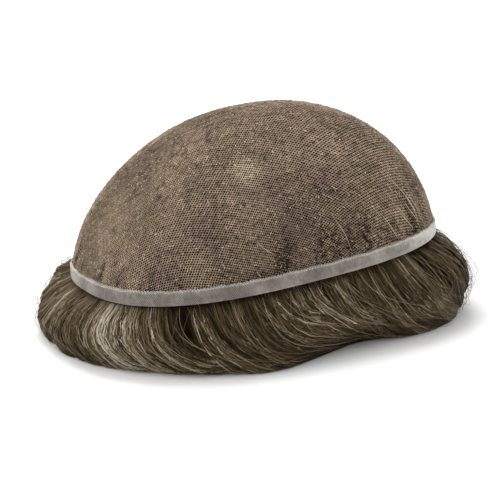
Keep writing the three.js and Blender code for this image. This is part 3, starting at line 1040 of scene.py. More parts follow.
    def build_knots(self, look: bpy.types.Material) -> bpy.types.Object:
        """Makes the knots and cut ends of hair that stand on the threads.

        Args:
            look: Their material.

        Returns:
            All of them as one piece.
        """
        rng = np.random.default_rng(self.seed + 3)
        flat, _ = self.lattice()
        cloud = np.sin(flat[..., 0] / 9.0 + 1.3) * np.sin(flat[..., 1] / 7.0 + 0.4)
        chance = np.clip(0.6 + 0.5 * cloud, 0.1, None) * (np.hypot(flat[..., 0], flat[..., 1]) < self.reach - 3)
        rows = self.knots // 2
        pick = rng.choice(chance.size, rows, replace=False, p=(chance / chance.sum()).ravel())
        long = np.minimum(rng.geometric(0.62, rows), 9)
        of = np.repeat(np.arange(rows), long)
        step = np.arange(len(of)) - np.repeat(np.cumsum(long) - long, long)
        j, i = np.unravel_index(pick, chance.shape)
        i = np.minimum(i[of] + step * rng.integers(1, 3, rows)[of], chance.shape[1] - 1)
        count = len(of)
        middle = flat[j[of], i] + rng.normal(0, 0.12, (count, 2))
        lone = long[of] < 3
        angle = rng.normal(0, 0.2, count) + lone * rng.choice([0, 1.05, -1.05], count)
        half = rng.gamma(2.6, 0.115, count).clip(0.14, 1.1)
        step = np.stack([np.cos(angle), np.sin(angle)], -1) * half[:, None]
        lit_ends = self.turned(np.stack([middle - step, middle + step], 1))
        direction, climb, inside = self.on_dome(lit_ends)
        height = BASE.dome(direction, climb)[..., 2]
        kept = (inside > 2).all(1) & (height > BASE.ribbon_height).all(1)
        direction, climb, height, of = direction[kept], climb[kept], height[kept], of[kept]
        out = BASE.outward(direction, climb)
        count = len(of)
        lift = np.stack([rng.uniform(0.05, 0.2, count), rng.uniform(0.15, 0.45, count)], 1)
        lift -= self.gathers(direction, height)
        paths = BASE.place(BASE.dome(direction, climb) + out * lift[..., None])
        radii = rng.uniform(0.11, 0.2, count)[:, None] * np.array([[1.0, 0.75]])
        faces = tubes(paths, radii, out @ BASE.tilt().T)
        tone = np.clip(rng.beta(2.2, 2.2, rows)[of] + rng.normal(0, 0.15, count), 0, 1)
        faces.tone = np.repeat(tone, 6)
        return make_piece("lace_knots", faces, look)

    def build_creases(self, look: bpy.types.Material) -> bpy.types.Object:
        """Makes the pale creases that run up the net from the ribbon.

        Args:
            look: Their material.

        Returns:
            All of them as one piece.
        """
        rng = np.random.default_rng(self.seed + 4)
        one = (self.creases, 1)
        share = np.linspace(0, 1, 9)[None]
        near_back = rng.random(one) < 0.7
        start = np.where(near_back, rng.uniform(296, 342, one), rng.uniform(0, 360, one))
        height = BASE.ribbon_height + 0.8 + rng.uniform(0, 9, one) + rng.uniform(5, 20, one) * share
        lean = rng.uniform(2, 7, one) * share
        direction = start - lean + 0.25 * np.sin(6 * share + rng.uniform(0, 6, one))
        climb = BASE.climb_at(direction, height)
        out = BASE.outward(direction, climb)
        lift = 0.1 + 0.15 * np.sin(share * math.pi) - self.gathers(direction, height)
        paths = BASE.place(BASE.dome(direction, climb) + out * lift[..., None])
        radii = rng.uniform(0.1, 0.17, one) * (0.45 + 0.55 * np.sin(share * math.pi))
        faces = tubes(paths, radii, out @ BASE.tilt().T)
        faces.tone = np.repeat(rng.uniform(0.45, 0.85, self.creases), 27)
        return make_piece("lace_creases", faces, look)


@dataclass
class HemRibbon:
    """The ribbon folded round the edge of the lace, and the stitches that hold it."""

    stations: int = 540
    leaf: float = 0.5
    fold: float = 0.9
    stitches: int = 330
    seed: int = 5

    def section(self, heights: np.ndarray, arc: int) -> tuple[np.ndarray, np.ndarray]:
        """Section of the folded ribbon.

        Args:
            heights: Heights of the points up each leaf.
            arc: Number of points round the fold.

        Returns:
            Inset and height of the section's points, out and down, round the fold, up, and back.
        """
        outer = -BASE.clearance - BASE.ribbon_leaf / 2
        inner = BASE.wall + BASE.clearance + BASE.ribbon_leaf / 2
        middle, half = (outer + inner) / 2, (inner - outer) / 2
        turn = np.linspace(0, math.pi, arc)
        loops = []
        for side in (0.5, -0.5):
            grow = side * self.leaf
            down = np.stack([np.full(len(heights), outer - grow), heights], -1)
            bend = np.stack(
                [
                    middle - (half + grow) * np.cos(turn),
                    self.fold + 0.35 - (self.fold + 0.1 + grow) * np.sin(turn),
                ],
                -1,
            )
            up = np.stack([np.full(len(heights), inner + grow), heights[::-1]], -1)
            loops.append(np.concatenate([down, bend[1:-1], up]))
        contour = np.concatenate([loops[0], loops[1][::-1]])
        return contour[:, 0], contour[:, 1]

    def sway(self, direction: np.ndarray) -> tuple[np.ndarray, np.ndarray]:
        """Slow waves of the ribbon: how far it stands out, and how much its top edge rises."""
        turn = np.radians(direction)
        out = 0.16 * np.sin(23 * turn + 0.6) + 0.12 * np.sin(41 * turn) + 0.07 * np.sin(77 * turn)
        rise = 0.14 * np.sin(31 * turn + 2.0) + 0.1 * np.sin(67 * turn)
        return out, rise

    def build(self, look: bpy.types.Material) -> bpy.types.Object:
        """Makes the ribbon.

        Args:
            look: Its material.

        Returns:
            The ribbon.
        """
        heights = np.linspace(BASE.ribbon_height, 1.3, 5)
        inset, height = self.section(heights, 6)
        direction = even_directions(self.stations)
        out, rise = self.sway(direction)
        tall = np.clip(height / BASE.ribbon_height, 0, 1)
        inset_all = inset[None] - out[:, None] * tall[None]
        height_all = height[None] + rise[:, None] * tall[None]
        turned = np.repeat(direction[:, None], len(inset), 1)
        points = BASE.dome_point(turned, BASE.climb_at(turned, height_all), inset_all)
        points[..., 2] = np.where(height_all < 0, height_all, points[..., 2])
        faces = loft(BASE.place(points), True)
        run = RUN.at(direction)
        grain = np.zeros(points.shape)
        grain[..., 0] = run[:, None] * METRES
        across = np.concatenate([[0], np.cumsum(np.hypot(np.diff(inset), np.diff(height)))])
        grain[..., 1] = across[None] * METRES
        # Painted light: the ribbon is whiter at both ends of the base, where it catches the light.
        lit_ends = 0.7 * np.exp(-(((np.mod(direction - 160 + 180, 360) - 180) / 20) ** 2))
        lit_ends += 1.3 * np.exp(-(((np.mod(direction - 330 + 180, 360) - 180) / 32) ** 2))
        edge = np.exp(-(((height - BASE.ribbon_height) / 0.7) ** 2)) + 0.8 * np.exp(-(((height - 0.2) / 0.9) ** 2))
        tone = 0.08 + 0.85 * lit_ends[:, None] + 0.4 * edge[None]
        tone += 0.06 * np.random.default_rng(self.seed).standard_normal(tone.shape)
        faces.tone, faces.grain = tone.ravel(), grain.reshape(-1, 3)
        ribbon = make_piece("hem_ribbon", faces, look, ["hem_band"])
        return ribbon

    def build_stitches(self, look: bpy.types.Material) -> bpy.types.Object:
        """Makes the slanting stitches over the ribbon's upper edge.

        Args:
            look: The thread's material.

        Returns:
            All of them as one piece.
        """
        rng = np.random.default_rng(self.seed + 1)
        start = even_directions(self.stitches)
        run = RUN.at(start)
        share = np.linspace(0, 1, 6)
        slant = rng.normal(1.1, 0.15, self.stitches)
        direction = RUN.back(run[:, None] + slant[:, None] * (share[None] - 0.5))
        out, rise = self.sway(direction)
        top = BASE.ribbon_height + rise
        height = top + 0.75 * np.sin(share * math.pi)[None] - 0.55 + rng.normal(0, 0.06, run.shape)[:, None]
        face = -BASE.clearance - BASE.ribbon_leaf / 2 - self.leaf / 2 - 0.12
        inset = face * (1 - 0.75 * np.sin(share * math.pi)[None]) - out
        paths = BASE.dome_point(direction, BASE.climb_at(direction, height), inset)
        radii = np.full(direction.shape, 0.17)
        outward = BASE.normal(direction)
        faces = tubes(BASE.place(paths), radii, outward @ BASE.tilt().T)
        faces.tone = np.repeat(rng.uniform(0.3, 1, self.stitches), 18)
        return make_piece("ribbon_stitches", faces, look)


@dataclass
class CrownHair:
    """Hair that lies against the inside of the lace, round an open hollow."""

    thickness: float = 7.0
    stations: int = 150
    strands: int = 520
    seed: int = 17

    def inset(self, height: np.ndarray) -> np.ndarray:
        """Depth of the outer face: close to the lace, and inside the ribbon at the hem."""
        free = BASE.wall + BASE.clearance
        bound = free + BASE.ribbon_leaf + BASE.clearance
        edge = smoothstep(height, BASE.ribbon_height + 1, 2 * BASE.ribbon_height)
        return bound + (free - bound) * edge

    def ridges(self, direction: np.ndarray, climb: np.ndarray) -> np.ndarray:
        """Rise and fall of the locks on the hollow's face."""
        swirl = np.radians(direction) + 0.9 * climb
        broad = 0.6 * np.sin(13 * swirl + 1.2 * np.sin(3 * swirl))
        fine = 0.3 * np.sin(37 * swirl + 2.0 * climb)
        return (broad + fine) * smoothstep(climb, 0.08, 0.4)

    def build(self, look: bpy.types.Material) -> bpy.types.Object:
        """Makes the mass of the crown hair.

        Args:
            look: Its material.

        Returns:
            The mass.
        """
        direction = even_directions(self.stations)
        outer = np.linspace(0.01, 1, 30)
        turned, climb = np.meshgrid(direction, outer, indexing="ij")
        height = BASE.dome(turned, climb)[..., 2]
        face = BASE.dome_point(turned, climb, self.inset(height))
        depth = self.inset(height) + self.thickness + self.ridges(turned, climb)
        hollow = BASE.dome_point(turned, climb, depth)[:, ::-1]
        points = np.concatenate([face, hollow], 1)
        faces = loft(BASE.place(points), True)
        run = RUN.at(direction)[:, None] * np.concatenate([outer, outer[::-1]])[None]
        down = np.concatenate([outer, outer[::-1]])[None] * 95 + 0 * run
        grain = np.stack([run + down * 0.35, down, 0 * run], -1)
        tone = 0.02 + 0.02 * np.sin(points[..., 0] / 21) * np.sin(points[..., 2] / 13)
        tone[:, len(outer) :] += 0.15
        faces.tone, faces.grain = tone.ravel(), grain.reshape(-1, 3) * METRES
        return make_piece("crown_hair_bed", faces, look, ["crown_hair", "rim_hair"])

    def build_strands(self, look: bpy.types.Material) -> bpy.types.Object:
        """Makes strands that lie on the hollow's face.

        Args:
            look: Their material.

        Returns:
            All of them as one piece.
        """
        rng = np.random.default_rng(self.seed)
        share = np.linspace(0, 1, 9)
        top = rng.beta(1.2, 1.6, self.strands) * 0.75 + 0.03
        length = rng.uniform(0.25, 0.6, self.strands)
        climb = np.clip(top[:, None] + length[:, None] * share[None], 0.02, 0.985)
        curl = rng.normal(10, 22, self.strands)
        start = rng.uniform(0, 360, self.strands)
        direction = start[:, None] + curl[:, None] * share[None] ** 1.4
        height = BASE.dome(direction, climb)[..., 2]
        lift = rng.uniform(0.2, 1.0, self.strands)[:, None] + 0.7 * np.sin(math.pi * share)[None]
        depth = self.inset(height) + self.thickness + self.ridges(direction, climb) + lift
        paths = BASE.place(BASE.dome_point(direction, climb, depth))
        radii = rng.uniform(0.25, 0.5, self.strands)[:, None] * (1 - 0.7 * share[None] ** 3)
        outward = -BASE.outward(direction, climb) @ BASE.tilt().T
        faces = tubes(paths, radii, outward)
        tone = rng.normal(0.38, 0.1, self.strands)[:, None] + 0.1 * share[None]
        faces.tone = np.repeat(tone.ravel(), 3)
        return make_piece("crown_hair_strands", faces, look)


@dataclass(frozen=True)
class Lock:
    """One lock. Width and depth are shares of a lock's size, reach of the fall, lean of the sweep."""

    start: float
    width: float
    depth: float
    reach: float
    lean: float


@dataclass(frozen=True)
class PaleTuft:
    """Part of the hem where the hair is paler: its direction, width, strength and share of strands."""

    direction: float
    width: float
    strength: float
    share: float


@dataclass(frozen=True)
class Patch:
    """Place on the hair that is darker or lighter, from painted shade, painted highlights and the hair's own tone:
    its direction and fall, their spread, the change.
    """

    direction: float
    wide: float
    fall: float
    tall: float
    change: float


SHADE_AND_TONE_PATCHES = (
    # Painted shadow under the paler lock, where the hair nears the surface.
    Patch(278, 9, 0.86, 0.12, -0.38),
    # Painted shade in a small gap between locks.
    Patch(277, 1.8, 0.31, 0.08, -0.34),
    # Paler gold lock: partly the hair's own tone, partly a painted highlight along its bend.
    Patch(270, 4, 0.4, 0.12, 0.12),
    Patch(277, 5, 0.57, 0.08, 0.17),
    # Painted highlight on the roll of hair at the back.
    Patch(297, 9, 0.68, 0.14, 0.12),
    # Painted shade in the crease under the upper roll.
    Patch(303, 5, 0.42, 0.07, -0.2),
    Patch(253, 12, 0.6, 0.25, 0.05),
    # Painted shade just below the ribbon.
    Patch(260, 8, 0.2, 0.12, -0.06),
    Patch(176, 16, 0.4, 0.3, 0.05),
    Patch(198, 9, 0.68, 0.2, -0.2),
    Patch(190, 12, 0.9, 0.12, -0.14),
    Patch(206, 5, 0.28, 0.16, 0.07),
    # Painted shade in the hollow at the back end.
    Patch(298, 3, 0.24, 0.09, -0.16),
    Patch(301, 3, 0.37, 0.08, -0.22),
    Patch(307, 4, 0.5, 0.06, -0.28),
    Patch(311, 5, 0.22, 0.16, -0.3),
)


def shade_and_tone_change(direction: np.ndarray, fall: np.ndarray) -> np.ndarray:
    """How much the hair's tone changes at a place below the hem, painted shade and highlights included."""
    total = np.zeros(np.broadcast(direction, fall).shape)
    for patch in SHADE_AND_TONE_PATCHES:
        across = (np.mod(direction - patch.direction + 180, 360) - 180) / patch.wide
        total += patch.change * np.exp(-(across**2) - ((fall - patch.fall) / patch.tall) ** 2)
    return total


PALE_TUFTS = (
    PaleTuft(202, 10, 0.5, 0.72),
    PaleTuft(190, 8, 0.3, 0.55),
    PaleTuft(176, 9, 0.18, 0.5),
    PaleTuft(160, 10, 0.12, 0.5),
    PaleTuft(211, 7, 0.4, 0.6),
    PaleTuft(219, 4, 0.24, 0.45),
    PaleTuft(228, 5, 0.16, 0.35),
    PaleTuft(265, 6, 0.3, 0.6),
    PaleTuft(298, 6, 0.2, 0.4),
    PaleTuft(333, 6, 0.14, 0.4),
    PaleTuft(345, 12, 0.12, 0.4),
)


@dataclass
class HairZone:
    """The hair below one stretch of the hem: a bed of fused locks, and the strands over it."""

    node: str
    begin: float
    end: float
    locks: tuple[Lock, ...]
    strands: int
    fill: int
    seed: int
    tone: float = 0.36
    combed: tuple[Lock, ...] = ()
    past_tip: float = 1.12
    points: int = 8
    lowered: float = 1.2
    hollow: tuple[float, float, float] = (0.0, 1.0, 0.0)

    def __post_init__(self) -> None:
        """Lets the strands follow the solid's locks where no others are given."""
        self.combed = self.combed or self.locks

    def relief(self, start: np.ndarray, turn: np.ndarray) -> np.ndarray:
        """How far the bed's face stands from the hair's outer form.

        Args:
            start: Direction at the hem of a line down the hair.
            turn: How far down that line, 0 at the hem and 1 at the surface.

        Returns:
            The distance, which is highest along the middle of a lock.
        """
        face = np.full(np.broadcast(start, turn).shape, -HAIR.lock_depth / 2)
        bend = 1 - np.cos(turn * math.pi / 2)
        here = start + HAIR.sweep(start) * bend
        for lock in self.locks:
            middle = lock.start + lock.lean * HAIR.sweep(np.array([lock.start]))[0] * bend
            off = np.abs(RUN.at(here) - RUN.at(middle))
            taper = 1 - 0.6 * turn**3
            half, deep = 0.5 * HAIR.lock_width * lock.width * taper, HAIR.lock_depth * lock.depth / 2
            crest = -deep + deep * taper * np.sqrt(np.clip(1 - (off / half) ** 2, 0, 1))
            ended = smoothstep(turn, 0.93 * lock.reach, 1.02 * lock.reach)
            face = np.maximum(face, crest - 4 * ended)
        return np.minimum(face, 0) - self.lowered - self.hollow[2] * self.dent(here, turn)

    def dent(self, direction: np.ndarray, turn: np.ndarray) -> np.ndarray:
        """Share of the hollow's depth at a place, from 0 outside it to 1 at its middle."""
        middle, half, _ = self.hollow
        return np.exp(-(((direction - middle) / half) ** 4)) * (1 - smoothstep(turn, 0.25, 0.5))

    def build_bed(self, look: bpy.types.Material) -> bpy.types.Object:
        """Makes the bed of fused locks.

        Args:
            look: Its material.

        Returns:
            The bed.
        """
        columns = int((self.end - self.begin) * 1.3)
        start = np.linspace(self.begin + 0.6, self.end - 0.6, columns)
        turn = np.linspace(0.02, 1, 22)
        first, down = np.meshgrid(start, turn, indexing="ij")
        bend = 1 - np.cos(down * math.pi / 2)
        direction = first + HAIR.sweep(first) * bend
        fall = np.sin(down * math.pi / 2) * 0.985
        form = HAIR.lay(direction, fall)
        relief = self.relief(first, down)
        rng = np.random.default_rng(self.seed)
        ripple = 0.25 * np.sin(RUN.at(first) * 2.1 + rng.uniform(0, 6)) * smoothstep(down, 0.05, 0.3)
        outer = HAIR.point(direction, fall, form + relief + ripple)
        outer[..., 2] += HAIR.arch(direction, down)
        back = -HAIR.lock_depth / 2 - HAIR.thickness
        inner = HAIR.point(direction, fall, form + back)
        points = np.concatenate([outer, inner[:, ::-1]], 1)
        faces = loft(points, False)
        run = RUN.at(first) * METRES
        length = down * 0.045
        half = np.stack([run, length, 0 * run], -1)
        faces.grain = np.concatenate([half, half[:, ::-1]], 1).reshape(-1, 3)
        # Painted shade: the bed is darker where its face sinks into partings and the hollow; the paler tufts
        # lighten it.
        dark = 0.1 + 0.05 * np.clip(relief + self.lowered, -6, 0) + self.pale(first, 0.3)
        faces.tone = np.concatenate([np.clip(dark, 0, 1), 0 * dark + 0.04], 1).ravel()
        return make_piece(self.node + "_bed", faces, look, [self.node])

    @staticmethod
    def pale(direction: np.ndarray, gain: float) -> np.ndarray:
        """How much paler the hair is at a direction on the whole."""
        total = np.zeros(np.shape(direction))
        for tuft in PALE_TUFTS:
            total += tuft.strength * tuft.share * np.exp(-(((direction - tuft.direction) / tuft.width) ** 2))
        return gain * total

    def wisps(self, rng: np.random.Generator, count: int) -> dict[str, np.ndarray]:
        """Chooses the wisps that the strands gather into.

        Args:
            rng: The random source.
            count: Number of wisps.

        Returns:
            What each wisp has, one entry of the arrays for each.
        """
        weights = np.array([lock.width for lock in self.combed])
        pick = rng.choice(len(self.combed), count, p=weights / weights.sum())
        table = np.array([(k.start, k.width, k.depth, k.reach, k.lean) for k in self.combed])[pick]
        side = rng.uniform(-1.05, 1.05, count)
        return {
            "start": table[:, 0],
            "half": table[:, 1] * HAIR.lock_width / 2,
            "deep": table[:, 2] * HAIR.lock_depth / 2,
            "reach": table[:, 3] * rng.normal(0.99, 0.05, count),
            "lean": table[:, 4] * rng.normal(1.0, 0.16, count),
            "side": side,
            "lift": np.sqrt(np.clip(1.1 - side**2, 0, 1)) * rng.uniform(0.35, 1.1, count),
            "tone": rng.normal(0, 0.13, count),
            "phase": rng.uniform(0, 2 * math.pi, count),
        }

    def courses(self, count: int, seed: int, loose: float) -> tuple[np.ndarray, np.ndarray, np.ndarray]:
        """Lays out strands.

        Args:
            count: Number of strands.
            seed: The random source's start.
            loose: How loosely they lie, 1 for the hair and more for strays.

        Returns:
            Their points, the outward direction at each point, and each strand's tone.
        """
        rng = np.random.default_rng(seed)
        wisps = self.wisps(rng, max(count // 20, 1))
        of = rng.integers(0, len(wisps["start"]), count)
        own = {key: value[of][:, None] for key, value in wisps.items()}
        share = np.linspace(0, 1, self.points)[None]
        end = rng.uniform(0.8, self.past_tip, count)[:, None] * np.ones_like(share)
        turn = share * end
        bend = 1 - np.cos(turn * math.pi / 2)
        sweep = HAIR.sweep(own["start"])
        lean = own["lean"] + rng.normal(0, 0.05 * loose, (count, 1))
        run = RUN.at(own["start"] + lean * sweep * bend)
        height = HAIR.hem_height(own["start"])
        reach = np.minimum(own["reach"] + rng.normal(0, 0.03 * loose, (count, 1)), 1.06)
        drop = height * reach * np.sin(turn * math.pi / 2)
        run_step, drop_step = np.gradient(run, axis=1), np.gradient(drop, axis=1)
        size = np.maximum(np.hypot(run_step, drop_step), 1e-6)
        taper = 1 - 0.55 * turn**2
        side = own["side"] * own["half"] * taper
        side += rng.normal(0, 0.7 * loose, (count, 1)) * (1 - 0.4 * turn)
        side += 0.7 * loose * np.sin(own["phase"] + 3.2 * turn + rng.normal(0, 0.3, (count, 1))) * turn
        side += rng.normal(0, 0.5 * loose, (count, 1)) * np.sin(5 * turn + rng.uniform(0, 6, (count, 1))) * turn
        run = run + side * drop_step / size
        drop = drop - side * run_step / size
        drop = np.where(turn < 0.02, 0.0, drop)
        direction = RUN.back(run)
        fall = np.clip(drop / height, 0.0, 0.985)
        depth = own["lift"] * own["deep"] * taper + rng.normal(0, 0.45 * loose, (count, 1)) * turn
        out = HAIR.lay(direction, fall) - own["deep"] + depth + 0.15
        tuck = rng.uniform(0, 1, (count, 1)) ** 2 * 7.0
        out = out - tuck * np.clip(turn - 0.8, 0, None) * 3
        cap = HAIR.lay(direction, fall) + 0.9 * loose
        out = np.minimum(out, cap)
        out = np.where(turn <= 0, np.minimum(out, -1.2 - 0.8 * rng.random((count, 1))), out)
        paths = HAIR.point(direction, fall, out)
        paths[..., 2] += HAIR.arch(direction, turn)
        paths[..., 2] = np.maximum(paths[..., 2], 0.35)
        tone = self.tone + own["tone"] + rng.normal(0, 0.2, (count, 1)) - 0.05 * (turn - 0.4)
        first = RUN.back(RUN.at(own["start"]) + own["side"] * own["half"])
        # Paler tufts, and the painted shade and highlights of the patches.
        tone = tone + self.paler(rng, first) + shade_and_tone_change(direction, fall)
        return paths, BASE.normal(direction), np.clip(tone, 0.02, 1)

    @staticmethod
    def paler(rng: np.random.Generator, first: np.ndarray) -> np.ndarray:
        """How much paler each strand is that starts at a direction."""
        count = len(first)
        more = np.zeros((count, 1))
        for tuft in PALE_TUFTS:
            near = np.exp(-(((first - tuft.direction) / tuft.width) ** 2))
            chosen = rng.random((count, 1)) < tuft.share * near
            more += chosen * tuft.strength * rng.uniform(0.5, 1.3, (count, 1))
        grey = rng.random((count, 1)) < 0.03
        return more + grey * rng.uniform(0.1, 0.4, (count, 1))

    def undercoat(self) -> tuple[np.ndarray, np.ndarray, np.ndarray]:
        """Lays out the darker strands that cover the bed.

        Returns:
            Their points, the outward direction at each point, and each strand's tone.
        """
        rng = np.random.default_rng(self.seed + 7)
        one = (self.fill, 1)
        start = rng.uniform(self.begin - 1, self.end + 1, one)
        turn = np.linspace(0, 1, self.points)[None] * rng.uniform(0.85, 1.08, one)
        bend = 1 - np.cos(turn * math.pi / 2)
        wander = rng.normal(0, 1.5, one) * turn + 0.6 * np.sin(4 * turn + rng.uniform(0, 6, one)) * turn
        direction = RUN.back(RUN.at(start + HAIR.sweep(start) * bend) + wander)
        fall = np.clip(np.sin(turn * math.pi / 2), 0, 0.985)
        out = HAIR.lay(direction, fall) + self.relief(start, turn) + rng.uniform(0.1, 0.9, one)
        out[:, 0] = -1.5
        paths = HAIR.point(direction, fall, out)
        paths[..., 2] = np.maximum(paths[..., 2] + HAIR.arch(direction, turn), 0.35)
        tone = self.tone - 0.1 + rng.normal(0, 0.13, one) + 0.7 * self.paler(rng, start)
        # Painted shade and highlights of the patches.
        tone = tone + shade_and_tone_change(direction, fall)
        # Painted shade in the hollow: the undercoat darkens towards its middle.
        tone = tone - (self.hollow[2] > 0) * 0.33 * self.dent(direction, turn)
        return paths, BASE.normal(direction), np.clip(tone, 0.02, 1)

    def build_strands(self, look: bpy.types.Material) -> bpy.types.Object:
        """Makes the strands.

        Args:
            look: Their material.

        Returns:
            All of them as one piece.
        """
        pairs = zip(self.courses(self.strands, self.seed, 1.0), self.undercoat(), strict=True)
        paths, outward, tone = (np.concatenate(pair) for pair in pairs)
        rng = np.random.default_rng(self.seed + 1)
        share = np.linspace(0, 1, self.points)[None]
        radii = rng.uniform(0.11, 0.2, (len(paths), 1)) * (1 - 0.72 * share**4)
        faces = tubes(paths, radii, outward)
        faces.tone = np.repeat(tone.ravel(), 3)
        return make_piece(self.node + "_strands", faces, look)


@dataclass
class StrayHairs:
    """Single hairs that stand off the locks and cross over them."""

    count: int = 330
    untidy: tuple[tuple[float, float], ...] = ((172, 196), (204, 220), (264, 282), (298, 316), (344, 380))
    each: int = 24
    points: int = 14
    seed: int = 71

    def build(self, look: bpy.types.Material) -> bpy.types.Object:
        """Makes the stray hairs.

        Args:
            look: Their material.

        Returns:
            All of them as one piece.
        """
        rng = np.random.default_rng(self.seed)
        one = (self.count, 1)
        share = np.linspace(0, 1, self.points)[None]
        start = rng.uniform(95, 400, one)
        long = rng.uniform(0.6, 1.15, one)
        for k, (low, high) in enumerate(self.untidy):
            here = slice(k * self.each, (k + 1) * self.each)
            start[here] = rng.uniform(low, high, (self.each, 1))
            long[here] *= 0.6
        turn = 0.02 + share * long
        bend = 1 - np.cos(turn * math.pi / 2)
        cross = rng.normal(0, 7, one) * share**1.3
        bow = rng.normal(0, 4, one) * np.sin(share * math.pi)
        swept = start + HAIR.sweep(start) * rng.uniform(0.7, 1.3, one) * bend
        direction = RUN.back(RUN.at(swept) + cross + bow)
        fall = np.clip(np.sin(turn * math.pi / 2) * rng.uniform(0.8, 1, one), 0, 0.97)
        stand = 0.3 + rng.gamma(1.6, 0.8, one).clip(0, 4.5) * np.sin(share * math.pi) ** 0.8
        out = HAIR.lay(direction, fall) + stand
        out[:, 0] = -1.4
        paths = HAIR.point(direction, fall, out)
        paths[..., 2] = np.maximum(paths[..., 2] + HAIR.arch(direction, turn), 0.35)
        radii = rng.uniform(0.055, 0.095, one) * (1 - 0.5 * share**4)
        faces = tubes(paths, radii, BASE.normal(direction))
        faces.tone = np.repeat(rng.uniform(0.3, 0.85, self.count), 3 * self.points)
        return make_piece("stray_hairs", faces, look)


def far_locks() -> tuple[Lock, ...]:
    """Even locks along the side that faces away, each a little different from the next."""
    return tuple(
        Lock(
            22 + 112 * i / 9,
            1.15 if i % 2 else 0.95,
            0.9 if i % 3 else 1.2,
            1.04 if i % 2 else 0.94,
            1.0 if i % 3 else 0.85,
        )
        for i in range(10)
    )


def zones() -> list[HairZone]:
    """The four stretches of hair, with the locks of the part's source."""
    front = (
        Lock(146, 0.95, 0.9, 1.0, 1.0),
        Lock(155, 1.0, 1.1, 0.9, 0.8),
        Lock(163, 0.95, 0.9, 1.04, 1.3),
        Lock(171, 1.1, 1.1, 1.0, 0.6),
        Lock(178, 1.0, 0.9, 1.04, 1.5),
        Lock(185, 1.1, 1.1, 0.95, 1.6),
        Lock(192, 1.0, 1.0, 1.04, 1.1),
        Lock(199, 0.9, 1.2, 0.92, 1.0),
    )
    near = (
        Lock(210, 1.0, 1.3, 0.95, 1.0),
        Lock(218, 1.0, 1.2, 0.92, 0.9),
        Lock(223, 0.6, 1.2, 0.85, 0.9),
        Lock(235, 1.0, 1.0, 1.04, 1.0),
        Lock(242, 1.0, 1.2, 0.97, 1.1),
        Lock(248, 1.1, 1.0, 1.04, 1.0),
        Lock(254, 1.0, 1.1, 0.95, 1.1),
        Lock(258, 1.0, 1.2, 0.85, 1.1),
        Lock(262, 0.9, 1.5, 0.68, 0.95),
        Lock(268, 1.0, 1.1, 0.8, 0.7),
        Lock(273, 0.9, 0.9, 0.6, 0.5),
    )
    back = (
        Lock(282, 0.9, 0.9, 0.95, 0.9),
        Lock(286, 1.1, 1.2, 1.04, 1.0),
        Lock(291, 1.0, 1.1, 0.95, 1.1),
        Lock(297, 1.0, 1.3, 0.85, 1.2),
        Lock(303, 1.0, 1.0, 1.0, 1.0),
        Lock(309, 0.9, 1.2, 0.75, 1.2),
        Lock(318, 0.9, 0.9, 0.9, 1.0),
        Lock(352, 1.0, 1.2, 0.85, 1.0),
        Lock(361, 1.1, 1.4, 0.8, 1.0),
        Lock(369, 1.0, 1.1, 0.95, 1.0),
    )
    near_combed = (
        Lock(208, 0.9, 1.2, 0.97, 1.0),
        Lock(214, 1.0, 1.2, 0.94, 0.9),
        Lock(220, 0.8, 1.2, 0.88, 1.0),
        Lock(238, 1.0, 1.1, 1.04, 1.0),
        *near[4:],
    )
    back_combed = (
        *back[:3],
        Lock(296, 0.9, 1.3, 0.88, 1.2),
        Lock(300, 0.5, 1.1, 0.97, 1.2),
        Lock(321, 0.8, 1.1, 0.9, 1.2),
        Lock(328, 0.9, 1.3, 0.8, 1.3),
        Lock(336, 0.9, 1.4, 0.84, 1.3),
        Lock(344, 1.0, 1.3, 0.9, 1.1),
        *back[7:],
    )
    return [
        HairZone("front_hair", 140, 205, front, 2600, 700, 101, 0.46),
        HairZone(
            "near_side_hair", 205, 278, near, 3000, 800, 202, 0.32, near_combed, hollow=(229.0, 4.5, 3.2)
        ),
        HairZone(
            "back_hair", 278, 375, back, 2900, 1000, 303, 0.34, back_combed, hollow=(309.0, 7.0, 4.8)
        ),
        HairZone("far_side_hair", 15, 140, far_locks(), 1900, 800, 404, 0.34),
    ]


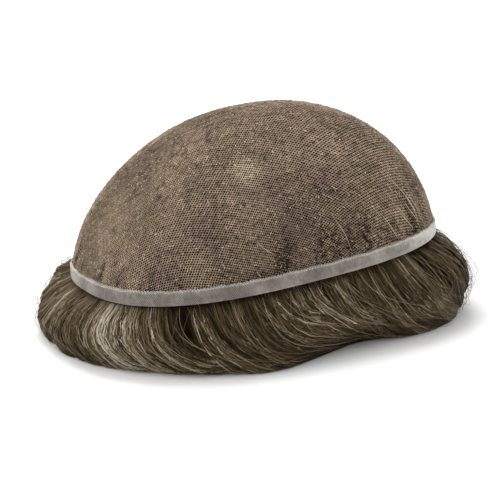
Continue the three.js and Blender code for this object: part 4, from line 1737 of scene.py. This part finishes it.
@dataclass
class Studio:
    """The surface, the lights and the camera."""

    distance: float = 788.4
    azimuth: float = -26.47
    elevation: float = 17.34
    lens: float = 119.06
    shift: tuple[float, float] = (-0.01627, 0.00694)
    sky: float = 0.76

    def build_camera(self) -> None:
        """Places the camera at the photograph's angle."""
        a, e = math.radians(self.azimuth), math.radians(self.elevation)
        back = Vector((math.sin(a) * math.cos(e), -math.cos(a) * math.cos(e), math.sin(e)))
        middle = Vector(BASE.place(np.zeros(3)))
        data = bpy.data.cameras.new("camera")
        data.sensor_width = 36.0
        data.lens = self.lens
        data.shift_x, data.shift_y = self.shift
        data.clip_start, data.clip_end = 0.01, 50
        camera = bpy.data.objects.new("camera", data)
        camera.location = (middle + back * self.distance) * METRES
        camera.rotation_mode = "QUATERNION"
        camera.rotation_quaternion = (-back).to_track_quat("-Z", "Y")
        bpy.context.scene.collection.objects.link(camera)
        bpy.context.scene.camera = camera

    def build_floor(self) -> None:
        """Makes the pale surface."""
        bpy.ops.mesh.primitive_plane_add(size=6)
        floor = bpy.context.active_object
        floor.name = "floor"
        floor.data.materials.append(PlainFinish("floor_white", (0.9, 0.9, 0.9, 1), 0.9, 0.0).material())

    def build_lights(self) -> None:
        """Makes the soft lights and the pale surroundings."""
        world = bpy.data.worlds.new("pale")
        world.use_nodes = True
        world.node_tree.nodes["Background"].inputs["Color"].default_value = (1, 1, 1, 1)
        world.node_tree.nodes["Background"].inputs["Strength"].default_value = self.sky
        bpy.context.scene.world = world
        bpy.context.scene.view_settings.view_transform = "Standard"
        self.lamp("key", (-1.0, 0.0, 0.95), 0.8, 8.0)
        self.lamp("top", (0.1, 0.55, 1.3), 0.8, 11.0)
        self.lamp("right", (1.0, -0.45, 0.7), 0.7, 3.2)

    @staticmethod
    def lamp(name: str, place: tuple[float, float, float], size: float, power: float) -> None:
        """Adds a soft square light that faces the hairpiece.

        Args:
            name: The light's name.
            place: Where it hangs, in metres.
            size: Length of its sides, in metres.
            power: Its power, in watts.
        """
        data = bpy.data.lights.new(name, "AREA")
        data.size, data.energy = size, power
        light = bpy.data.objects.new(name, data)
        light.location = place
        towards = Vector((0, 0, 0.05)) - Vector(place)
        light.rotation_mode = "QUATERNION"
        light.rotation_quaternion = towards.to_track_quat("-Z", "Y")
        bpy.context.scene.collection.objects.link(light)


def main() -> None:
    """Builds the hairpiece and its surroundings, and keeps the sizes."""
    logging.basicConfig(level=logging.INFO, format="%(message)s")
    studio = Studio()
    studio.build_camera()
    studio.build_floor()
    studio.build_lights()
    strand_look = HairFinish("hair_strands").material()
    streak_look = StreakFinish("hair_mass").material()
    crown = CrownHair()
    crown.build(streak_look)
    crown.build_strands(strand_look)
    net = LaceNet()
    net.build(NetFinish().material())
    knot_look = KnotFinish().material()
    net.build_knots(knot_look)
    net.build_creases(knot_look)
    ribbon = HemRibbon()
    ribbon.build(RibbonFinish().material())
    ribbon.build_stitches(PlainFinish("ribbon_thread", (0.7, 0.66, 0.58, 1)).material())
    for zone in zones():
        zone.build_bed(streak_look)
        zone.build_strands(strand_look)
    StrayHairs().build(strand_look)


if __name__ == "__main__":
    main()
